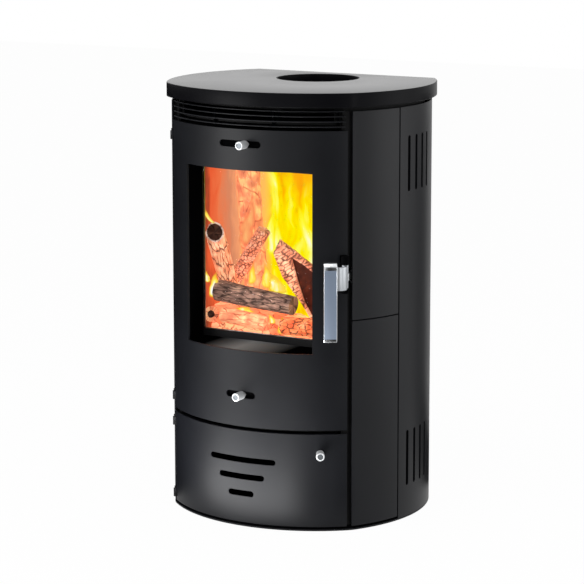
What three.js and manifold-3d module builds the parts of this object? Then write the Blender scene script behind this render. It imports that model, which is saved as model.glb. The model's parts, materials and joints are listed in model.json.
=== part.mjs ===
// Modern wood-burning stove on a D-shaped plan: a curved glazed fire door above a
// curved store door, louvred steel side shells and a thick top plate.
//
// Millimetres, +Z up, front towards -Y. The plan is drawn from its own origin on the
// centre line, and the whole stove is then moved so that the origin of the exported
// group is the centre of its footprint, on the floor.
//
// The plan outline is three tangent arcs on each side: a wide front arc, a tight
// corner arc and a long side arc, closed by a flat back. A place on it is given by
// its heading (degrees that the outward normal has turned from straight ahead, plus
// to the right) and its offset (millimetres outwards from the steel surface).

import * as THREE from "three";
import { mergeVertices } from "three/addons/utils/BufferGeometryUtils.js";
import Module from "manifold-3d";

const wasm = await Module();
wasm.setup();

// ---------------------------------------------------------------- driving dimensions

// Plan outline
const frontRadius = 292.4;
const frontHalfAngle = 41.48;
const cornerRadius = 62.5;
const cornerTurn = 15.34;
const sideRadius = 278.5;
const frontCentreY = 37.5;
const backY = 147.9;
const backBendRadius = 5;
const facetStep = 4;
const hiddenStep = 8;

// Heights
const baseThickness = 3;
const plinthTopZ = 7.7;
const casingBottomZ = 8;
const lowerDoorTopZ = 190;
const deckZ = 191;
const deckThickness = 2;
const mainDoorBottomZ = 195.5;
const mainDoorTopZ = 766;
const sideSeamZ = 407;
const casingTopZ = 802.5;
const topPlateZ = 810.4;
const totalHeight = 837.4;

// Planes well clear of the stove, which end the tools that cut right through a sheet
const farFront = -330;
const behindDoors = -180;

// Sheet and clearances
const seat = 0.3;
const sheet = 2;
const casingSheet = 3;
const doorSheet = 4;
const lowerDoorSheet = 3;

// Casing joints, as headings on the plan
const doorEdge = 41.2;
const sidePanelStart = 48.9;
const sidePanelEnd = 78.1;
const rearShellStart = 78.7;
const rearFlangeX = 150;

// Louvres in the rear shells
const louvreHeadings = [84.7, 90.3, 95.9, 101.5];
const louvreWidth = 8.5;
const louvreSpans = [[64, 173.5], [640, 747]];

// Top plate and flue
const plateOverhang = 9.65;
const plateCornerRadius = 6;
const plateEdgeBevel = 1;
const plateHoleRadius = 81;
const flueY = 45.5;
const flueInnerRadius = 70.5;
const flueOuterRadius = 74.5;
const flueCollarTopZ = 816;
const flueFlangeRadius = 88;

// Top grille
const lamellaTopZ = 803.6;
const lamellaPitch = 9.7;
const lamellaCount = 4;
const lamellaThickness = 2;
const lamellaHalfAngle = 40.3;

// Window
const windowHalfWidth = 138;
const windowBottomZ = 344;
const windowTopZ = 688.5;
const glassViewBottomZ = 357.5;
const glassViewTopZ = 677;
const linerBackY = -162.3;
const glassThickness = 4;
const glassHalfWidth = 146;
const glassBottomZ = 350;
const glassTopZ = 686;

// Door frame behind the liner
const doorHalfWidth = 172;
const frameBackY = -150;
const frameBottomZ = 202;
const frameTopZ = 724;
const sealWidth = 10;

// Air slots and knobs on the doors
const upperSlot = { length: 90, height: 13, z: 738, knobHeading: 2.75 };
const lowerSlot = { length: 64, height: 13, z: 258, knobHeading: 1 };
const storeSlots = [[146, 131], [100, 98], [56, 65]];
const storeSlotHeight = 11;
const knobRadius = 7.8;
const knobReach = 26.6;
const storeKnob = { heading: 31.1, z: 152 };

// Firebox and the flat frame in front of it, which the door closes against
const fireboxHalfWidth = 190;
const fireboxFrontY = -140.7;
const frontFrameY = [-145, fireboxFrontY - seat];
const frontFrameTopZ = 776;
const fireMouth = { halfWidth: 156, z: [338, 700] };
const ashMouth = { halfWidth: 125, z: [212, 290] };
const fireboxBackY = 128;
const fireboxTopZ = 772;
const fireboxPlate = 4;
const hearthZ = 296;
const brickTopZ = 690;
const brickThickness = 20;
const brickFrontY = -136;

// Hinge line of both doors
const hingeHeading = -44.55;
const hingeOffset = 0.3;
const hingePinRadius = 2.6;
const hingeEarRadius = 4.4;
const hingeEarHeight = 8;
const mainHingeZ = [212, 728];
const lowerHingeZ = [14, 160];

// Door handle
const handlePivotHeading = 40;
const handlePivotOffset = 8;
const gripHeading = 34.2;
const gripFaceOffset = 41;
const gripThickness = 11;
const gripWidth = 25;
const gripBottomZ = 374;
const gripTopZ = 525;
const armBottomZ = 472;
const armTopZ = 516;
const armThickness = 6;
const hubRadius = 6;
const hookBottomZ = 486;
const hookTopZ = 500;

// ---------------------------------------------------------------- plan geometry

const rad = THREE.MathUtils.degToRad;
const deg = THREE.MathUtils.radToDeg;
const cornerHeading = frontHalfAngle + cornerTurn;

function outward(heading) {
  return new THREE.Vector2(Math.sin(rad(heading)), -Math.cos(rad(heading)));
}

const frontCentre = new THREE.Vector2(0, frontCentreY);
const cornerCentre = outward(frontHalfAngle)
  .multiplyScalar(frontRadius - cornerRadius)
  .add(frontCentre);
const sideCentre = outward(cornerHeading)
  .multiplyScalar(cornerRadius - sideRadius)
  .add(cornerCentre);

// Centre of the bend that joins a side arc to the flat back.
function backBendCentre(sideR, back, bend) {
  const y = back - bend;
  const reach = sideR - bend;
  const rise = y - sideCentre.y;
  return new THREE.Vector2(sideCentre.x + Math.sqrt(reach * reach - rise * rise), y);
}

function headingOf(point, centre) {
  return deg(Math.atan2(point.x - centre.x, -(point.y - centre.y)));
}

const bendCentre = backBendCentre(sideRadius, backY, backBendRadius);
const bendHeading = headingOf(bendCentre, sideCentre);

function wallPoint(heading, offset = 0) {
  const turn = Math.abs(heading);
  let centre = sideCentre;
  let radius = sideRadius;
  if (turn <= frontHalfAngle) {
    centre = frontCentre;
    radius = frontRadius;
  } else if (turn <= cornerHeading) {
    centre = cornerCentre;
    radius = cornerRadius;
  } else if (turn > bendHeading) {
    centre = bendCentre;
    radius = backBendRadius;
  }
  const point = outward(turn).multiplyScalar(radius + offset).add(centre);
  return new THREE.Vector2(heading < 0 ? -point.x : point.x, point.y);
}

// Headings from start to end, on shared steps so that neighbouring sheets have
// parallel facets.
function headings(start, end, step = facetStep) {
  const list = [start];
  for (let k = Math.floor(start / step) + 1; k * step < end - 0.2; k += 1) {
    if (k * step > start + 0.2) list.push(k * step);
  }
  list.push(end);
  return list;
}

function shapeOf(points) {
  return new THREE.Shape(points);
}

// A curved strip of sheet between two headings and two offsets.
function bandShape(start, end, inner, outer, step = facetStep) {
  const turns = headings(start, end, step);
  const outside = turns.map((turn) => wallPoint(turn, outer));
  const inside = turns.map((turn) => wallPoint(turn, inner)).reverse();
  return shapeOf(outside.concat(inside));
}

// The whole closed D outline at an offset, with its two back corners rounded.
function outlinePoints(offset, corner = Math.max(backBendRadius + offset, 0.5), step = facetStep) {
  const back = backY + offset;
  const centre = backBendCentre(sideRadius + offset, back, corner);
  const turnIn = headingOf(centre, sideCentre);
  const right = headings(0, turnIn, step).map((turn) => {
    if (turn > cornerHeading) {
      return outward(turn).multiplyScalar(sideRadius + offset).add(sideCentre);
    }
    return wallPoint(turn, offset);
  });
  const bendSteps = 3;
  for (let k = 1; k <= bendSteps; k += 1) {
    const turn = turnIn + (180 - turnIn) * (k / bendSteps);
    right.push(outward(turn).multiplyScalar(corner).add(centre));
  }
  const left = right.slice(1).map((p) => new THREE.Vector2(-p.x, p.y)).reverse();
  return right.concat(left);
}

function outlineShape(offset, corner) {
  return shapeOf(outlinePoints(offset, corner));
}

// The same outline on wider steps, for sheets that stay out of sight.
function hiddenOutline(offset) {
  return shapeOf(outlinePoints(offset, undefined, hiddenStep));
}

function circlePath(x, y, radius, sides = 28) {
  const points = [];
  for (let k = 0; k < sides; k += 1) {
    const turn = (k / sides) * Math.PI * 2;
    points.push(new THREE.Vector2(x + radius * Math.cos(turn), y + radius * Math.sin(turn)));
  }
  return points;
}

// ---------------------------------------------------------------- solids

function prism(shape, bottom, top) {
  const geometry = new THREE.ExtrudeGeometry(shape, {
    depth: top - bottom,
    bevelEnabled: false,
    curveSegments: 12,
  });
  return geometry.translate(0, 0, bottom);
}

function box(x0, x1, y0, y1, z0, z1) {
  const geometry = new THREE.BoxGeometry(x1 - x0, y1 - y0, z1 - z0);
  return geometry.translate((x0 + x1) / 2, (y0 + y1) / 2, (z0 + z1) / 2);
}

// A block whose four edges along one face are chamfered, like a pressed brick.
function brick(x0, x1, y0, y1, z0, z1, chamfer = 2) {
  const shape = shapeOf([
    new THREE.Vector2(x0 + chamfer, y0 + chamfer),
    new THREE.Vector2(x1 - chamfer, y0 + chamfer),
    new THREE.Vector2(x1 - chamfer, y1 - chamfer),
    new THREE.Vector2(x0 + chamfer, y1 - chamfer),
  ]);
  const geometry = new THREE.ExtrudeGeometry(shape, {
    depth: z1 - z0 - 2 * chamfer,
    bevelEnabled: true,
    bevelThickness: chamfer,
    bevelSize: chamfer,
    bevelSegments: 1,
  });
  return geometry.translate(0, 0, z0 + chamfer);
}

function cylinder(x, y, bottom, top, radius, sides = 16) {
  const geometry = new THREE.CylinderGeometry(radius, radius, top - bottom, sides);
  return geometry.rotateX(Math.PI / 2).translate(x, y, (bottom + top) / 2);
}

// A round-ended slot tool, long side along X (or Z when upright), cutting along Y.
function slotTool(x, z, length, height, y0, y1, upright = false) {
  const end = height / 2;
  const reach = length / 2 - end;
  const shape = new THREE.Shape();
  shape.moveTo(-reach, -end);
  shape.lineTo(reach, -end);
  shape.absarc(reach, 0, end, -Math.PI / 2, Math.PI / 2, false);
  shape.lineTo(-reach, end);
  shape.absarc(-reach, 0, end, Math.PI / 2, (3 * Math.PI) / 2, false);
  const geometry = new THREE.ExtrudeGeometry(shape, {
    depth: y1 - y0,
    bevelEnabled: false,
    curveSegments: 5,
  });
  if (upright) geometry.rotateZ(Math.PI / 2);
  return geometry.rotateX(Math.PI / 2).translate(x, y1, z);
}

// Turns a geometry built at the front centre (x = 0, facing -Y, with y measured
// outwards from the steel as -offset) to its place at a heading.
function placeAtHeading(geometry, heading) {
  const foot = wallPoint(heading, 0);
  return geometry.rotateZ(rad(heading)).translate(foot.x, foot.y, 0);
}

// A solid of revolution about a horizontal axis at the front centre. The profile
// gives [radius, offset] pairs and starts and ends on the axis.
function turned(profile, z, sides = 18) {
  const points = profile.map(([radius, offset]) => new THREE.Vector2(radius, offset));
  const geometry = new THREE.LatheGeometry(points, sides);
  return geometry.rotateX(Math.PI).translate(0, 0, z);
}

function toSolid(geometry) {
  const bare = geometry.index ? geometry.toNonIndexed() : geometry.clone();
  bare.deleteAttribute("normal");
  bare.deleteAttribute("uv");
  const merged = mergeVertices(bare, 1e-4);
  const solid = new wasm.Manifold(new wasm.Mesh({
    numProp: 3,
    vertProperties: merged.attributes.position.array,
    triVerts: new Uint32Array(merged.index.array),
  }));
  if (solid.volume() >= 0) return solid;
  throw new Error("a tool body is inside out");
}

function toGeometry(solid) {
  const mesh = solid.getMesh();
  const geometry = new THREE.BufferGeometry();
  geometry.setAttribute("position", new THREE.BufferAttribute(mesh.vertProperties, 3));
  geometry.setIndex(new THREE.BufferAttribute(mesh.triVerts, 1));
  return geometry;
}

function join(...parts) {
  return toGeometry(parts.map(toSolid).reduce((sum, part) => sum.add(part)));
}

function cut(base, ...tools) {
  return toGeometry(tools.map(toSolid).reduce((rest, tool) => rest.subtract(tool), toSolid(base)));
}

function common(first, second) {
  return toGeometry(toSolid(first).intersect(toSolid(second)));
}

function mirrored(geometry) {
  const copy = (geometry.index ? geometry.toNonIndexed() : geometry.clone());
  const position = copy.attributes.position;
  for (let k = 0; k < position.count; k += 1) position.setX(k, -position.getX(k));
  for (let k = 0; k < position.count; k += 3) {
    const swap = new THREE.Vector3().fromBufferAttribute(position, k);
    position.setXYZ(k, position.getX(k + 1), position.getY(k + 1), position.getZ(k + 1));
    position.setXYZ(k + 1, swap.x, swap.y, swap.z);
  }
  return copy;
}

// ---------------------------------------------------------------- finishes

const finish = {
  stovePaint: new THREE.MeshStandardMaterial({ color: 0x2b2d30, roughness: 0.55, metalness: 0.2 }),
  darkSteel: new THREE.MeshStandardMaterial({ color: 0x17181a, roughness: 0.7, metalness: 0.2 }),
  castIron: new THREE.MeshStandardMaterial({ color: 0x26262a, roughness: 0.8, metalness: 0.3 }),
  vermiculite: new THREE.MeshStandardMaterial({ color: 0x6e655a, roughness: 0.95, metalness: 0 }),
  glass: new THREE.MeshStandardMaterial({
    color: 0xd8dcd8,
    roughness: 0.05,
    metalness: 0,
    transparent: true,
    opacity: 0.25,
  }),
  sealRope: new THREE.MeshStandardMaterial({ color: 0x8a8880, roughness: 1, metalness: 0 }),
  chrome: new THREE.MeshStandardMaterial({ color: 0xd9dce0, roughness: 0.12, metalness: 1 }),
  brushedSteel: new THREE.MeshStandardMaterial({ color: 0xa9adb1, roughness: 0.35, metalness: 1 }),
  zincSteel: new THREE.MeshStandardMaterial({ color: 0x9a9c9e, roughness: 0.45, metalness: 0.9 }),
  bark: new THREE.MeshStandardMaterial({ color: 0x5b4a3c, roughness: 0.95, metalness: 0 }),
  char: new THREE.MeshStandardMaterial({ color: 0x1d1a18, roughness: 0.95, metalness: 0 }),
  embers: new THREE.MeshStandardMaterial({
    color: 0x5a2410,
    roughness: 1,
    metalness: 0,
    emissive: 0xff5a14,
    emissiveIntensity: 0.8,
  }),
};

const stove = new THREE.Group();

function add(name, geometry, material) {
  const mesh = new THREE.Mesh(geometry, material);
  mesh.name = name;
  stove.add(mesh);
  return mesh;
}

// ---------------------------------------------------------------- base and store

function ring(outer, inner, bottom, top) {
  return cut(prism(hiddenOutline(outer), bottom, top), prism(hiddenOutline(inner), bottom - 1, top + 1));
}

const storeHalfWidth = 166;
const storeFrontOffset = -22;
const storeBackY = 118;
const storeBottomZ = baseThickness + seat;
const storeTopZ = deckZ - seat;

// Floor or top sheet of the store, whose front edge follows the curved door.
function storePlate(bottom) {
  return common(
    prism(hiddenOutline(storeFrontOffset), bottom, bottom + sheet),
    box(-storeHalfWidth, storeHalfWidth, farFront, storeBackY, bottom, bottom + sheet),
  );
}

// Sheet folded round the store's two sides and back, between its floor and its top.
function storageCompartment() {
  const [bottom, top] = [storeBottomZ + sheet + seat, storeTopZ - sheet - seat];
  const outer = common(
    prism(hiddenOutline(storeFrontOffset), bottom, top),
    box(-storeHalfWidth, storeHalfWidth, farFront, storeBackY, bottom, top),
  );
  const inside = storeHalfWidth - sheet;
  return cut(outer, box(-inside, inside, farFront, storeBackY - sheet, bottom - 1, top + 1));
}

// Deck between store and firebox, cut in at the front to pass between the posts.
function middleDeck() {
  const top = deckZ + deckThickness;
  const betweenPosts = postLegX - 0.5;
  const narrow = box(-betweenPosts, betweenPosts, farFront, -farFront, deckZ - 1, top + 1);
  const wide = box(farFront, -farFront, frontFrameY[0], -farFront, deckZ - 1, top + 1);
  return common(prism(hiddenOutline(-14), deckZ, top), join(narrow, wide));
}

// ---------------------------------------------------------------- front posts

const postFloorOffset = -10;
const postStart = 39.5;
const postEnd = 56;
const postLegX = 177;
const postLegTopZ = frontFrameTopZ + seat / 2;

// Black channel between door and side panel: a floor strip, a leg back to the
// firebox front and a lip behind the side panel.
function frontPost() {
  const bottom = baseThickness + seat;
  const floor = prism(
    bandShape(postStart, postEnd, postFloorOffset - sheet, postFloorOffset),
    bottom,
    casingTopZ - seat,
  );
  const lip = prism(
    bandShape(postEnd - 2, postEnd, postFloorOffset - sheet, -casingSheet - seat),
    casingBottomZ + seat,
    casingTopZ - seat,
  );
  const legFront = wallPoint(postStart, postFloorOffset - sheet / 2).y;
  const leg = box(postLegX, postLegX + sheet, legFront, frontFrameY[0] - seat, bottom, postLegTopZ);
  return join(floor, lip, leg);
}

// The right post is slotted where the latch hook passes through it.
function latchSlot() {
  return box(170, 198, -182, -150, hookBottomZ - 8, hookTopZ + 8);
}

// ---------------------------------------------------------------- firebox

function frontFrame() {
  const [y0, y1] = frontFrameY;
  const w = fireboxHalfWidth;
  const plate = box(-w, w, y0, y1, deckZ + deckThickness + seat, frontFrameTopZ);
  const mouths = [fireMouth, ashMouth].map(
    ({ halfWidth, z: [low, high] }) => box(-halfWidth, halfWidth, y0 - 1, y1 + 1, low, high),
  );
  return cut(plate, ...mouths);
}

// Welded box, open at the front and the top.
function fireboxShell() {
  const bottom = deckZ + deckThickness + seat;
  const top = fireboxTopZ - fireboxPlate - seat;
  const w = fireboxHalfWidth;
  const t = fireboxPlate;
  const shell = box(-w, w, fireboxFrontY, fireboxBackY, bottom, top);
  const inside = box(-w + t, w - t, fireboxFrontY - 1, fireboxBackY - t, bottom + t, top + 1);
  return cut(shell, inside);
}

// Lid of the box, with the hole that the flue collar stands over.
function fireboxTop() {
  const w = fireboxHalfWidth;
  const bottom = fireboxTopZ - fireboxPlate;
  const lid = box(-w, w, fireboxFrontY, fireboxBackY, bottom, fireboxTopZ);
  return cut(lid, cylinder(0, flueY, bottom - 1, fireboxTopZ + 1, flueInnerRadius, 28));
}

const innerHalfWidth = fireboxHalfWidth - fireboxPlate - seat;
const innerBackY = fireboxBackY - fireboxPlate - seat;
const grateHalf = [72, 62];

function hearthPlate() {
  const plate = box(-innerHalfWidth, innerHalfWidth, fireboxFrontY, innerBackY, hearthZ, hearthZ + 3);
  return cut(plate, box(-60, 60, -50, 50, hearthZ - 1, hearthZ + 4));
}

const brickBottomZ = hearthZ + 3 + seat;
const sideBrickX = innerHalfWidth - brickThickness;
const backBrickY = innerBackY - brickThickness;
const floorBrickTopZ = brickBottomZ + brickThickness;

function sideBrick() {
  return brick(sideBrickX, innerHalfWidth, brickFrontY, backBrickY - seat, brickBottomZ, brickTopZ);
}

function backBrick() {
  return brick(-innerHalfWidth, innerHalfWidth, backBrickY, innerBackY, brickBottomZ, brickTopZ);
}

function floorBrick() {
  const edge = sideBrickX - seat;
  const slab = brick(-edge, edge, brickFrontY, backBrickY - seat, brickBottomZ, floorBrickTopZ);
  const [gx, gy] = grateHalf;
  return cut(slab, box(-gx - seat, gx + seat, -gy - seat, gy + seat, hearthZ, floorBrickTopZ + 10));
}

// Cast grate: a frame with long bars; ash falls through the slots between them.
function grate() {
  const [gx, gy] = grateHalf;
  const top = floorBrickTopZ - 4;
  const slotCount = 9;
  const slotWidth = 7;
  const pitch = 13.5;
  const slots = [];
  for (let k = 0; k < slotCount; k += 1) {
    const x = (k - (slotCount - 1) / 2) * pitch;
    slots.push(box(x - slotWidth / 2, x + slotWidth / 2, -48, 48, brickBottomZ - 1, top + 1));
  }
  return cut(brick(-gx, gx, -gy, gy, brickBottomZ, top, 1.5), ...slots);
}

function bafflePlate() {
  return brick(-innerHalfWidth, innerHalfWidth, -80, innerBackY, brickTopZ + seat, brickTopZ + seat + 25);
}

// Upright bar on a short foot that keeps logs and embers away from the glass.
function logRetainer() {
  const halfWidth = 150;
  const height = 34;
  const footDepth = 11.4;
  const frontY = fireboxFrontY + 1;
  const bottom = floorBrickTopZ + seat;
  const bar = box(-halfWidth, halfWidth, frontY, frontY + 3, bottom, bottom + height);
  const foot = box(-halfWidth, halfWidth, frontY, frontY + footDepth, bottom, bottom + 3);
  return join(bar, foot);
}

const ashPan = { halfWidth: 115, frontY: -134, backY: 100, height: 62 };

function ashPanTray() {
  const bottom = deckZ + deckThickness + seat + fireboxPlate + seat;
  const { halfWidth: w, frontY, backY: rear, height } = ashPan;
  const pan = box(-w, w, frontY, rear, bottom, bottom + height);
  const rim = bottom + height;
  const hollow = box(-w + sheet, w - sheet, frontY + sheet, rear - sheet, bottom + sheet, rim + 1);
  const lip = box(-60, 60, frontY - 6, frontY + 0.5, rim - sheet, rim);
  return join(cut(pan, hollow), lip);
}

// Spigot for the flue pipe, on a flange over the firebox top.
function flueCollar() {
  const z0 = fireboxTopZ + seat;
  const z1 = z0 + 4;
  const profile = [
    [flueInnerRadius, z0],
    [flueFlangeRadius, z0],
    [flueFlangeRadius, z1],
    [flueOuterRadius, z1],
    [flueOuterRadius, flueCollarTopZ],
    [flueInnerRadius, flueCollarTopZ],
    [flueInnerRadius, z0],
  ].map(([radius, z]) => new THREE.Vector2(radius, z));
  const geometry = new THREE.LatheGeometry(profile, 28);
  return geometry.rotateX(Math.PI / 2).translate(0, flueY, 0);
}

// ---------------------------------------------------------------- top

// Deck over the firebox with an upstand that carries the top plate.
function topDeck() {
  const deckBottom = frontFrameTopZ + 2 * seat;
  const deckTop = deckBottom + sheet;
  const deck = cut(
    prism(hiddenOutline(-14), deckBottom, deckTop),
    cylinder(0, flueY, deckBottom - 1, deckTop + 1, flueFlangeRadius + 2, 28),
  );
  const upstand = ring(-14, -16, deckTop - 0.5, topPlateZ - seat);
  const mouth = box(-165, 165, -260, -150, deckTop + 3, topPlateZ - 5);
  return join(deck, cut(upstand, mouth));
}

// Four thin curved slats on uprights, with dark gaps between them.
function airGrille() {
  const slats = [];
  for (let k = 0; k < lamellaCount; k += 1) {
    const top = lamellaTopZ - k * lamellaPitch;
    slats.push(prism(
      bandShape(-lamellaHalfAngle, lamellaHalfAngle, postFloorOffset + 0.4, -seat),
      top - lamellaThickness,
      top,
    ));
  }
  const bottom = lamellaTopZ - (lamellaCount - 1) * lamellaPitch - lamellaThickness;
  const uprights = [-38, -13, 13, 38].map((turn) => prism(
    bandShape(turn - 0.4, turn + 0.4, -12.6, postFloorOffset + 2),
    bottom,
    lamellaTopZ,
  ));
  return join(...slats, ...uprights);
}

function topPlate() {
  const inset = plateOverhang - plateEdgeBevel;
  const shape = outlineShape(inset, plateCornerRadius - plateEdgeBevel);
  shape.holes.push(new THREE.Path(circlePath(0, flueY, plateHoleRadius + plateEdgeBevel, 36)));
  const geometry = new THREE.ExtrudeGeometry(shape, {
    depth: totalHeight - topPlateZ - 2 * plateEdgeBevel,
    bevelEnabled: true,
    bevelThickness: plateEdgeBevel,
    bevelSize: plateEdgeBevel,
    bevelSegments: 1,
    curveSegments: 12,
  });
  return geometry.translate(0, 0, topPlateZ + plateEdgeBevel);
}

// ---------------------------------------------------------------- casing

function sidePanel(bottom, top) {
  return prism(bandShape(sidePanelStart, sidePanelEnd, -casingSheet, 0), bottom, top);
}

// Points of the rear shell from its front edge round to the end of its back flange.
function rearShellLine(offset) {
  const line = headings(rearShellStart, bendHeading - 0.01).map((turn) => wallPoint(turn, offset));
  const bendSteps = 3;
  for (let k = 1; k <= bendSteps; k += 1) {
    const turn = bendHeading + (180 - bendHeading) * (k / bendSteps);
    line.push(wallPoint(turn, offset));
  }
  line.push(new THREE.Vector2(rearFlangeX, backY + offset));
  return line;
}

// One louvre: an upright round-ended slot square to the shell at its heading.
function louvre(heading, bottom, top) {
  const tool = slotTool(0, (bottom + top) / 2, top - bottom, louvreWidth, -10, 10, true);
  return placeAtHeading(tool, heading);
}

function rearShell() {
  const outline = rearShellLine(0).concat(rearShellLine(-casingSheet).reverse());
  const shell = prism(shapeOf(outline), baseThickness + seat, casingTopZ);
  const tools = [];
  for (const [bottom, top] of louvreSpans) {
    for (const heading of louvreHeadings) tools.push(louvre(heading, bottom, top));
  }
  return cut(shell, ...tools);
}

const backPanelY = [backY + seat, backY + seat + 1.6];
const backPanelHalfWidth = 186;
const backPanelZ = [12, 800];

// Flat heat shield with upright convection slots near its foot and its head.
function backPanel() {
  const [y0, y1] = backPanelY;
  const plate = box(-backPanelHalfWidth, backPanelHalfWidth, y0, y1, backPanelZ[0], backPanelZ[1]);
  const slots = [];
  for (const [bottom, top] of [[60, 150], [650, 740]]) {
    for (let k = -4; k <= 4; k += 1) {
      const x = k * 28;
      slots.push(box(x - 4, x + 4, y0 - 1, y1 + 1, bottom, top));
    }
  }
  return cut(plate, ...slots);
}

// ---------------------------------------------------------------- hinges

const hingeAxis = wallPoint(hingeHeading, hingeOffset);

// Round eye on the hinge line with a short root that reaches in between the door
// edge and the side panel.
function hingeEye(rootOffset, bottom, top) {
  const eye = cylinder(hingeAxis.x, hingeAxis.y, bottom, top, hingeEarRadius, 14);
  const root = prism(bandShape(-46.6, -42.8, rootOffset, 0), bottom, top);
  return join(eye, root);
}

// Case half of a lift-off hinge: an ear on the left post with its pin standing up.
function caseEar(bottom) {
  const top = bottom + hingeEarHeight;
  const pin = cylinder(hingeAxis.x, hingeAxis.y, top - 1, top + hingeEarHeight + 5, hingePinRadius, 12);
  return join(hingeEye(postFloorOffset - sheet / 2, bottom, top), pin);
}

// Door half: an ear welded behind the panel, with an eye over the pin.
function doorEar(caseBottom, panelSheet) {
  const bottom = caseBottom + hingeEarHeight + 0.4;
  const top = bottom + hingeEarHeight;
  const tail = prism(bandShape(-45, -38.1, -9.2, -panelSheet - 0.4), bottom, top);
  const weld = prism(bandShape(-doorEdge + 0.1, -38.1, -panelSheet - 1, -panelSheet / 2), bottom, top);
  const bore = cylinder(hingeAxis.x, hingeAxis.y, bottom - 1, top + 1, hingePinRadius + 0.35, 12);
  return cut(join(hingeEye(-9.2, bottom, top), tail, weld), bore);
}

// ---------------------------------------------------------------- main door

function doorPanel() {
  const skin = prism(bandShape(-doorEdge, doorEdge, -doorSheet, 0), mainDoorBottomZ, mainDoorTopZ);
  const w = windowHalfWidth;
  const opening = box(-w, w, farFront, behindDoors, windowBottomZ, windowTopZ);
  const { length, height } = upperSlot;
  const upper = slotTool(0, upperSlot.z, length, height, farFront, behindDoors);
  const lower = slotTool(0, lowerSlot.z, lowerSlot.length, lowerSlot.height, farFront, behindDoors);
  const latchNotch = prism(bandShape(38.4, doorEdge + 1, -12, 6), bracketBottomZ - 1, bracketTopZ + 1);
  const ears = mainHingeZ.map((z) => doorEar(z, doorSheet));
  return join(cut(skin, opening, upper, lower, latchNotch), ...ears);
}

const airPortX = [-90, 0, 90];

// Tray behind the curved panel: a flat back with its rim folded forward to meet it.
function doorLiner() {
  const bottom = mainDoorBottomZ + 1.5;
  const top = mainDoorTopZ - 1.5;
  const w = doorHalfWidth;
  const body = common(
    prism(outlineShape(-doorSheet - seat), bottom, top),
    box(-w, w, farFront, linerBackY, bottom, top),
  );
  const hollow = box(-w + sheet, w - sheet, farFront, linerBackY - sheet, bottom + sheet, top - sheet);
  const view = box(
    -windowHalfWidth,
    windowHalfWidth,
    farFront,
    linerBackY + 1,
    glassViewBottomZ,
    glassViewTopZ,
  );
  const airHoles = [];
  for (const z of [upperSlot.z, lowerSlot.z]) {
    for (const x of airPortX) {
      airHoles.push(box(x - 22, x + 22, linerBackY - 3, linerBackY + 1, z - 5, z + 5));
    }
  }
  return cut(body, hollow, view, ...airHoles);
}

// Straight-sided tunnel from the curved panel back to the flat glass.
function windowReveal() {
  const w = windowHalfWidth;
  const wall = 1.5;
  const backEnd = linerBackY - sheet - seat;
  const outer = common(
    prism(outlineShape(-doorSheet - seat), windowBottomZ - wall, windowTopZ + wall),
    box(-w - wall, w + wall, farFront, backEnd, windowBottomZ - wall, windowTopZ + wall),
  );
  return cut(outer, box(-w, w, farFront, backEnd + 1, windowBottomZ, windowTopZ));
}

const frameFrontY = linerBackY + seat;
const ledgeBackY = frameFrontY + glassThickness + seat;

// Cast frame that carries glass and seal, with thinner pockets round the glass.
function glassFrame() {
  const w = doorHalfWidth;
  const slab = box(-w, w, frameFrontY, frameBackY, frameBottomZ, frameTopZ);
  const land = w - 14.5;
  const glassPocket = box(-land, land, ledgeBackY, frameBackY + 1, 338, frameTopZ - 14.5);
  const airPocket = box(-land, land, ledgeBackY, frameBackY + 1, frameBottomZ + 14.5, 328);
  const aperture = box(
    -glassHalfWidth - 1,
    glassHalfWidth + 1,
    frameFrontY - 1,
    frameBackY + 1,
    glassBottomZ - 1,
    glassTopZ + 1,
  );
  const ports = airPortX.map((x) => box(x - 24, x + 24, frameFrontY - 1, frameBackY, 250, 266));
  return cut(slab, glassPocket, airPocket, aperture, ...ports);
}

function doorGlass() {
  const y0 = frameFrontY + seat;
  return box(-glassHalfWidth, glassHalfWidth, y0, y0 + glassThickness, glassBottomZ, glassTopZ);
}

// Pressed steel surround that holds the glass against the liner.
function glassRetainer() {
  const y0 = ledgeBackY + seat;
  const y1 = y0 + 2;
  const overlap = 8;
  const w = glassHalfWidth + overlap;
  const outer = box(-w, w, y0, y1, glassBottomZ - overlap, glassTopZ + overlap);
  const v = glassHalfWidth - overlap;
  return cut(outer, box(-v, v, y0 - 1, y1 + 1, glassBottomZ + overlap, glassTopZ - overlap));
}

function doorSeal() {
  const w = doorHalfWidth - 2;
  const y0 = frameBackY + seat;
  const y1 = frontFrameY[0] - seat;
  const outer = box(-w, w, y0, y1, frameBottomZ + 2, frameTopZ - 2);
  const s = sealWidth;
  const inner = box(-w + s, w - s, y0 - 1, y1 + 1, frameBottomZ + 2 + s, frameTopZ - 2 - s);
  return cut(outer, inner);
}

// ---------------------------------------------------------------- air slides

const slideOffset = [-7.5, -6];

// Curved shutter behind a door slot; it turns about the centre of the door's curve.
function slidePlate(slot, start, end) {
  const half = slot.height / 2 + 3.5;
  return prism(bandShape(start, end, ...slideOffset), slot.z - half, slot.z + half);
}

// Frame behind the panel that the shutter runs in: two lipped rails and two stops.
function slideGuide(slot) {
  const half = slot.height / 2 + 4;
  const reach = 27;
  const back = -9.6;
  const front = -doorSheet - seat;
  const parts = [];
  for (const side of [-1, 1]) {
    const edge = slot.z + side * half;
    const railLow = Math.min(edge, edge + side * 3);
    parts.push(prism(bandShape(-reach, reach, back, front, 9), railLow, railLow + 3));
    const lipLow = side > 0 ? edge - 2 : edge;
    parts.push(prism(bandShape(-reach, reach, back, slideOffset[0] - 0.5, 9), lipLow, lipLow + 2));
    const stopStart = side > 0 ? reach - 1 : -reach;
    parts.push(prism(bandShape(stopStart, stopStart + 1, back, front), slot.z - half, slot.z + half));
  }
  return join(...parts);
}

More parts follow.
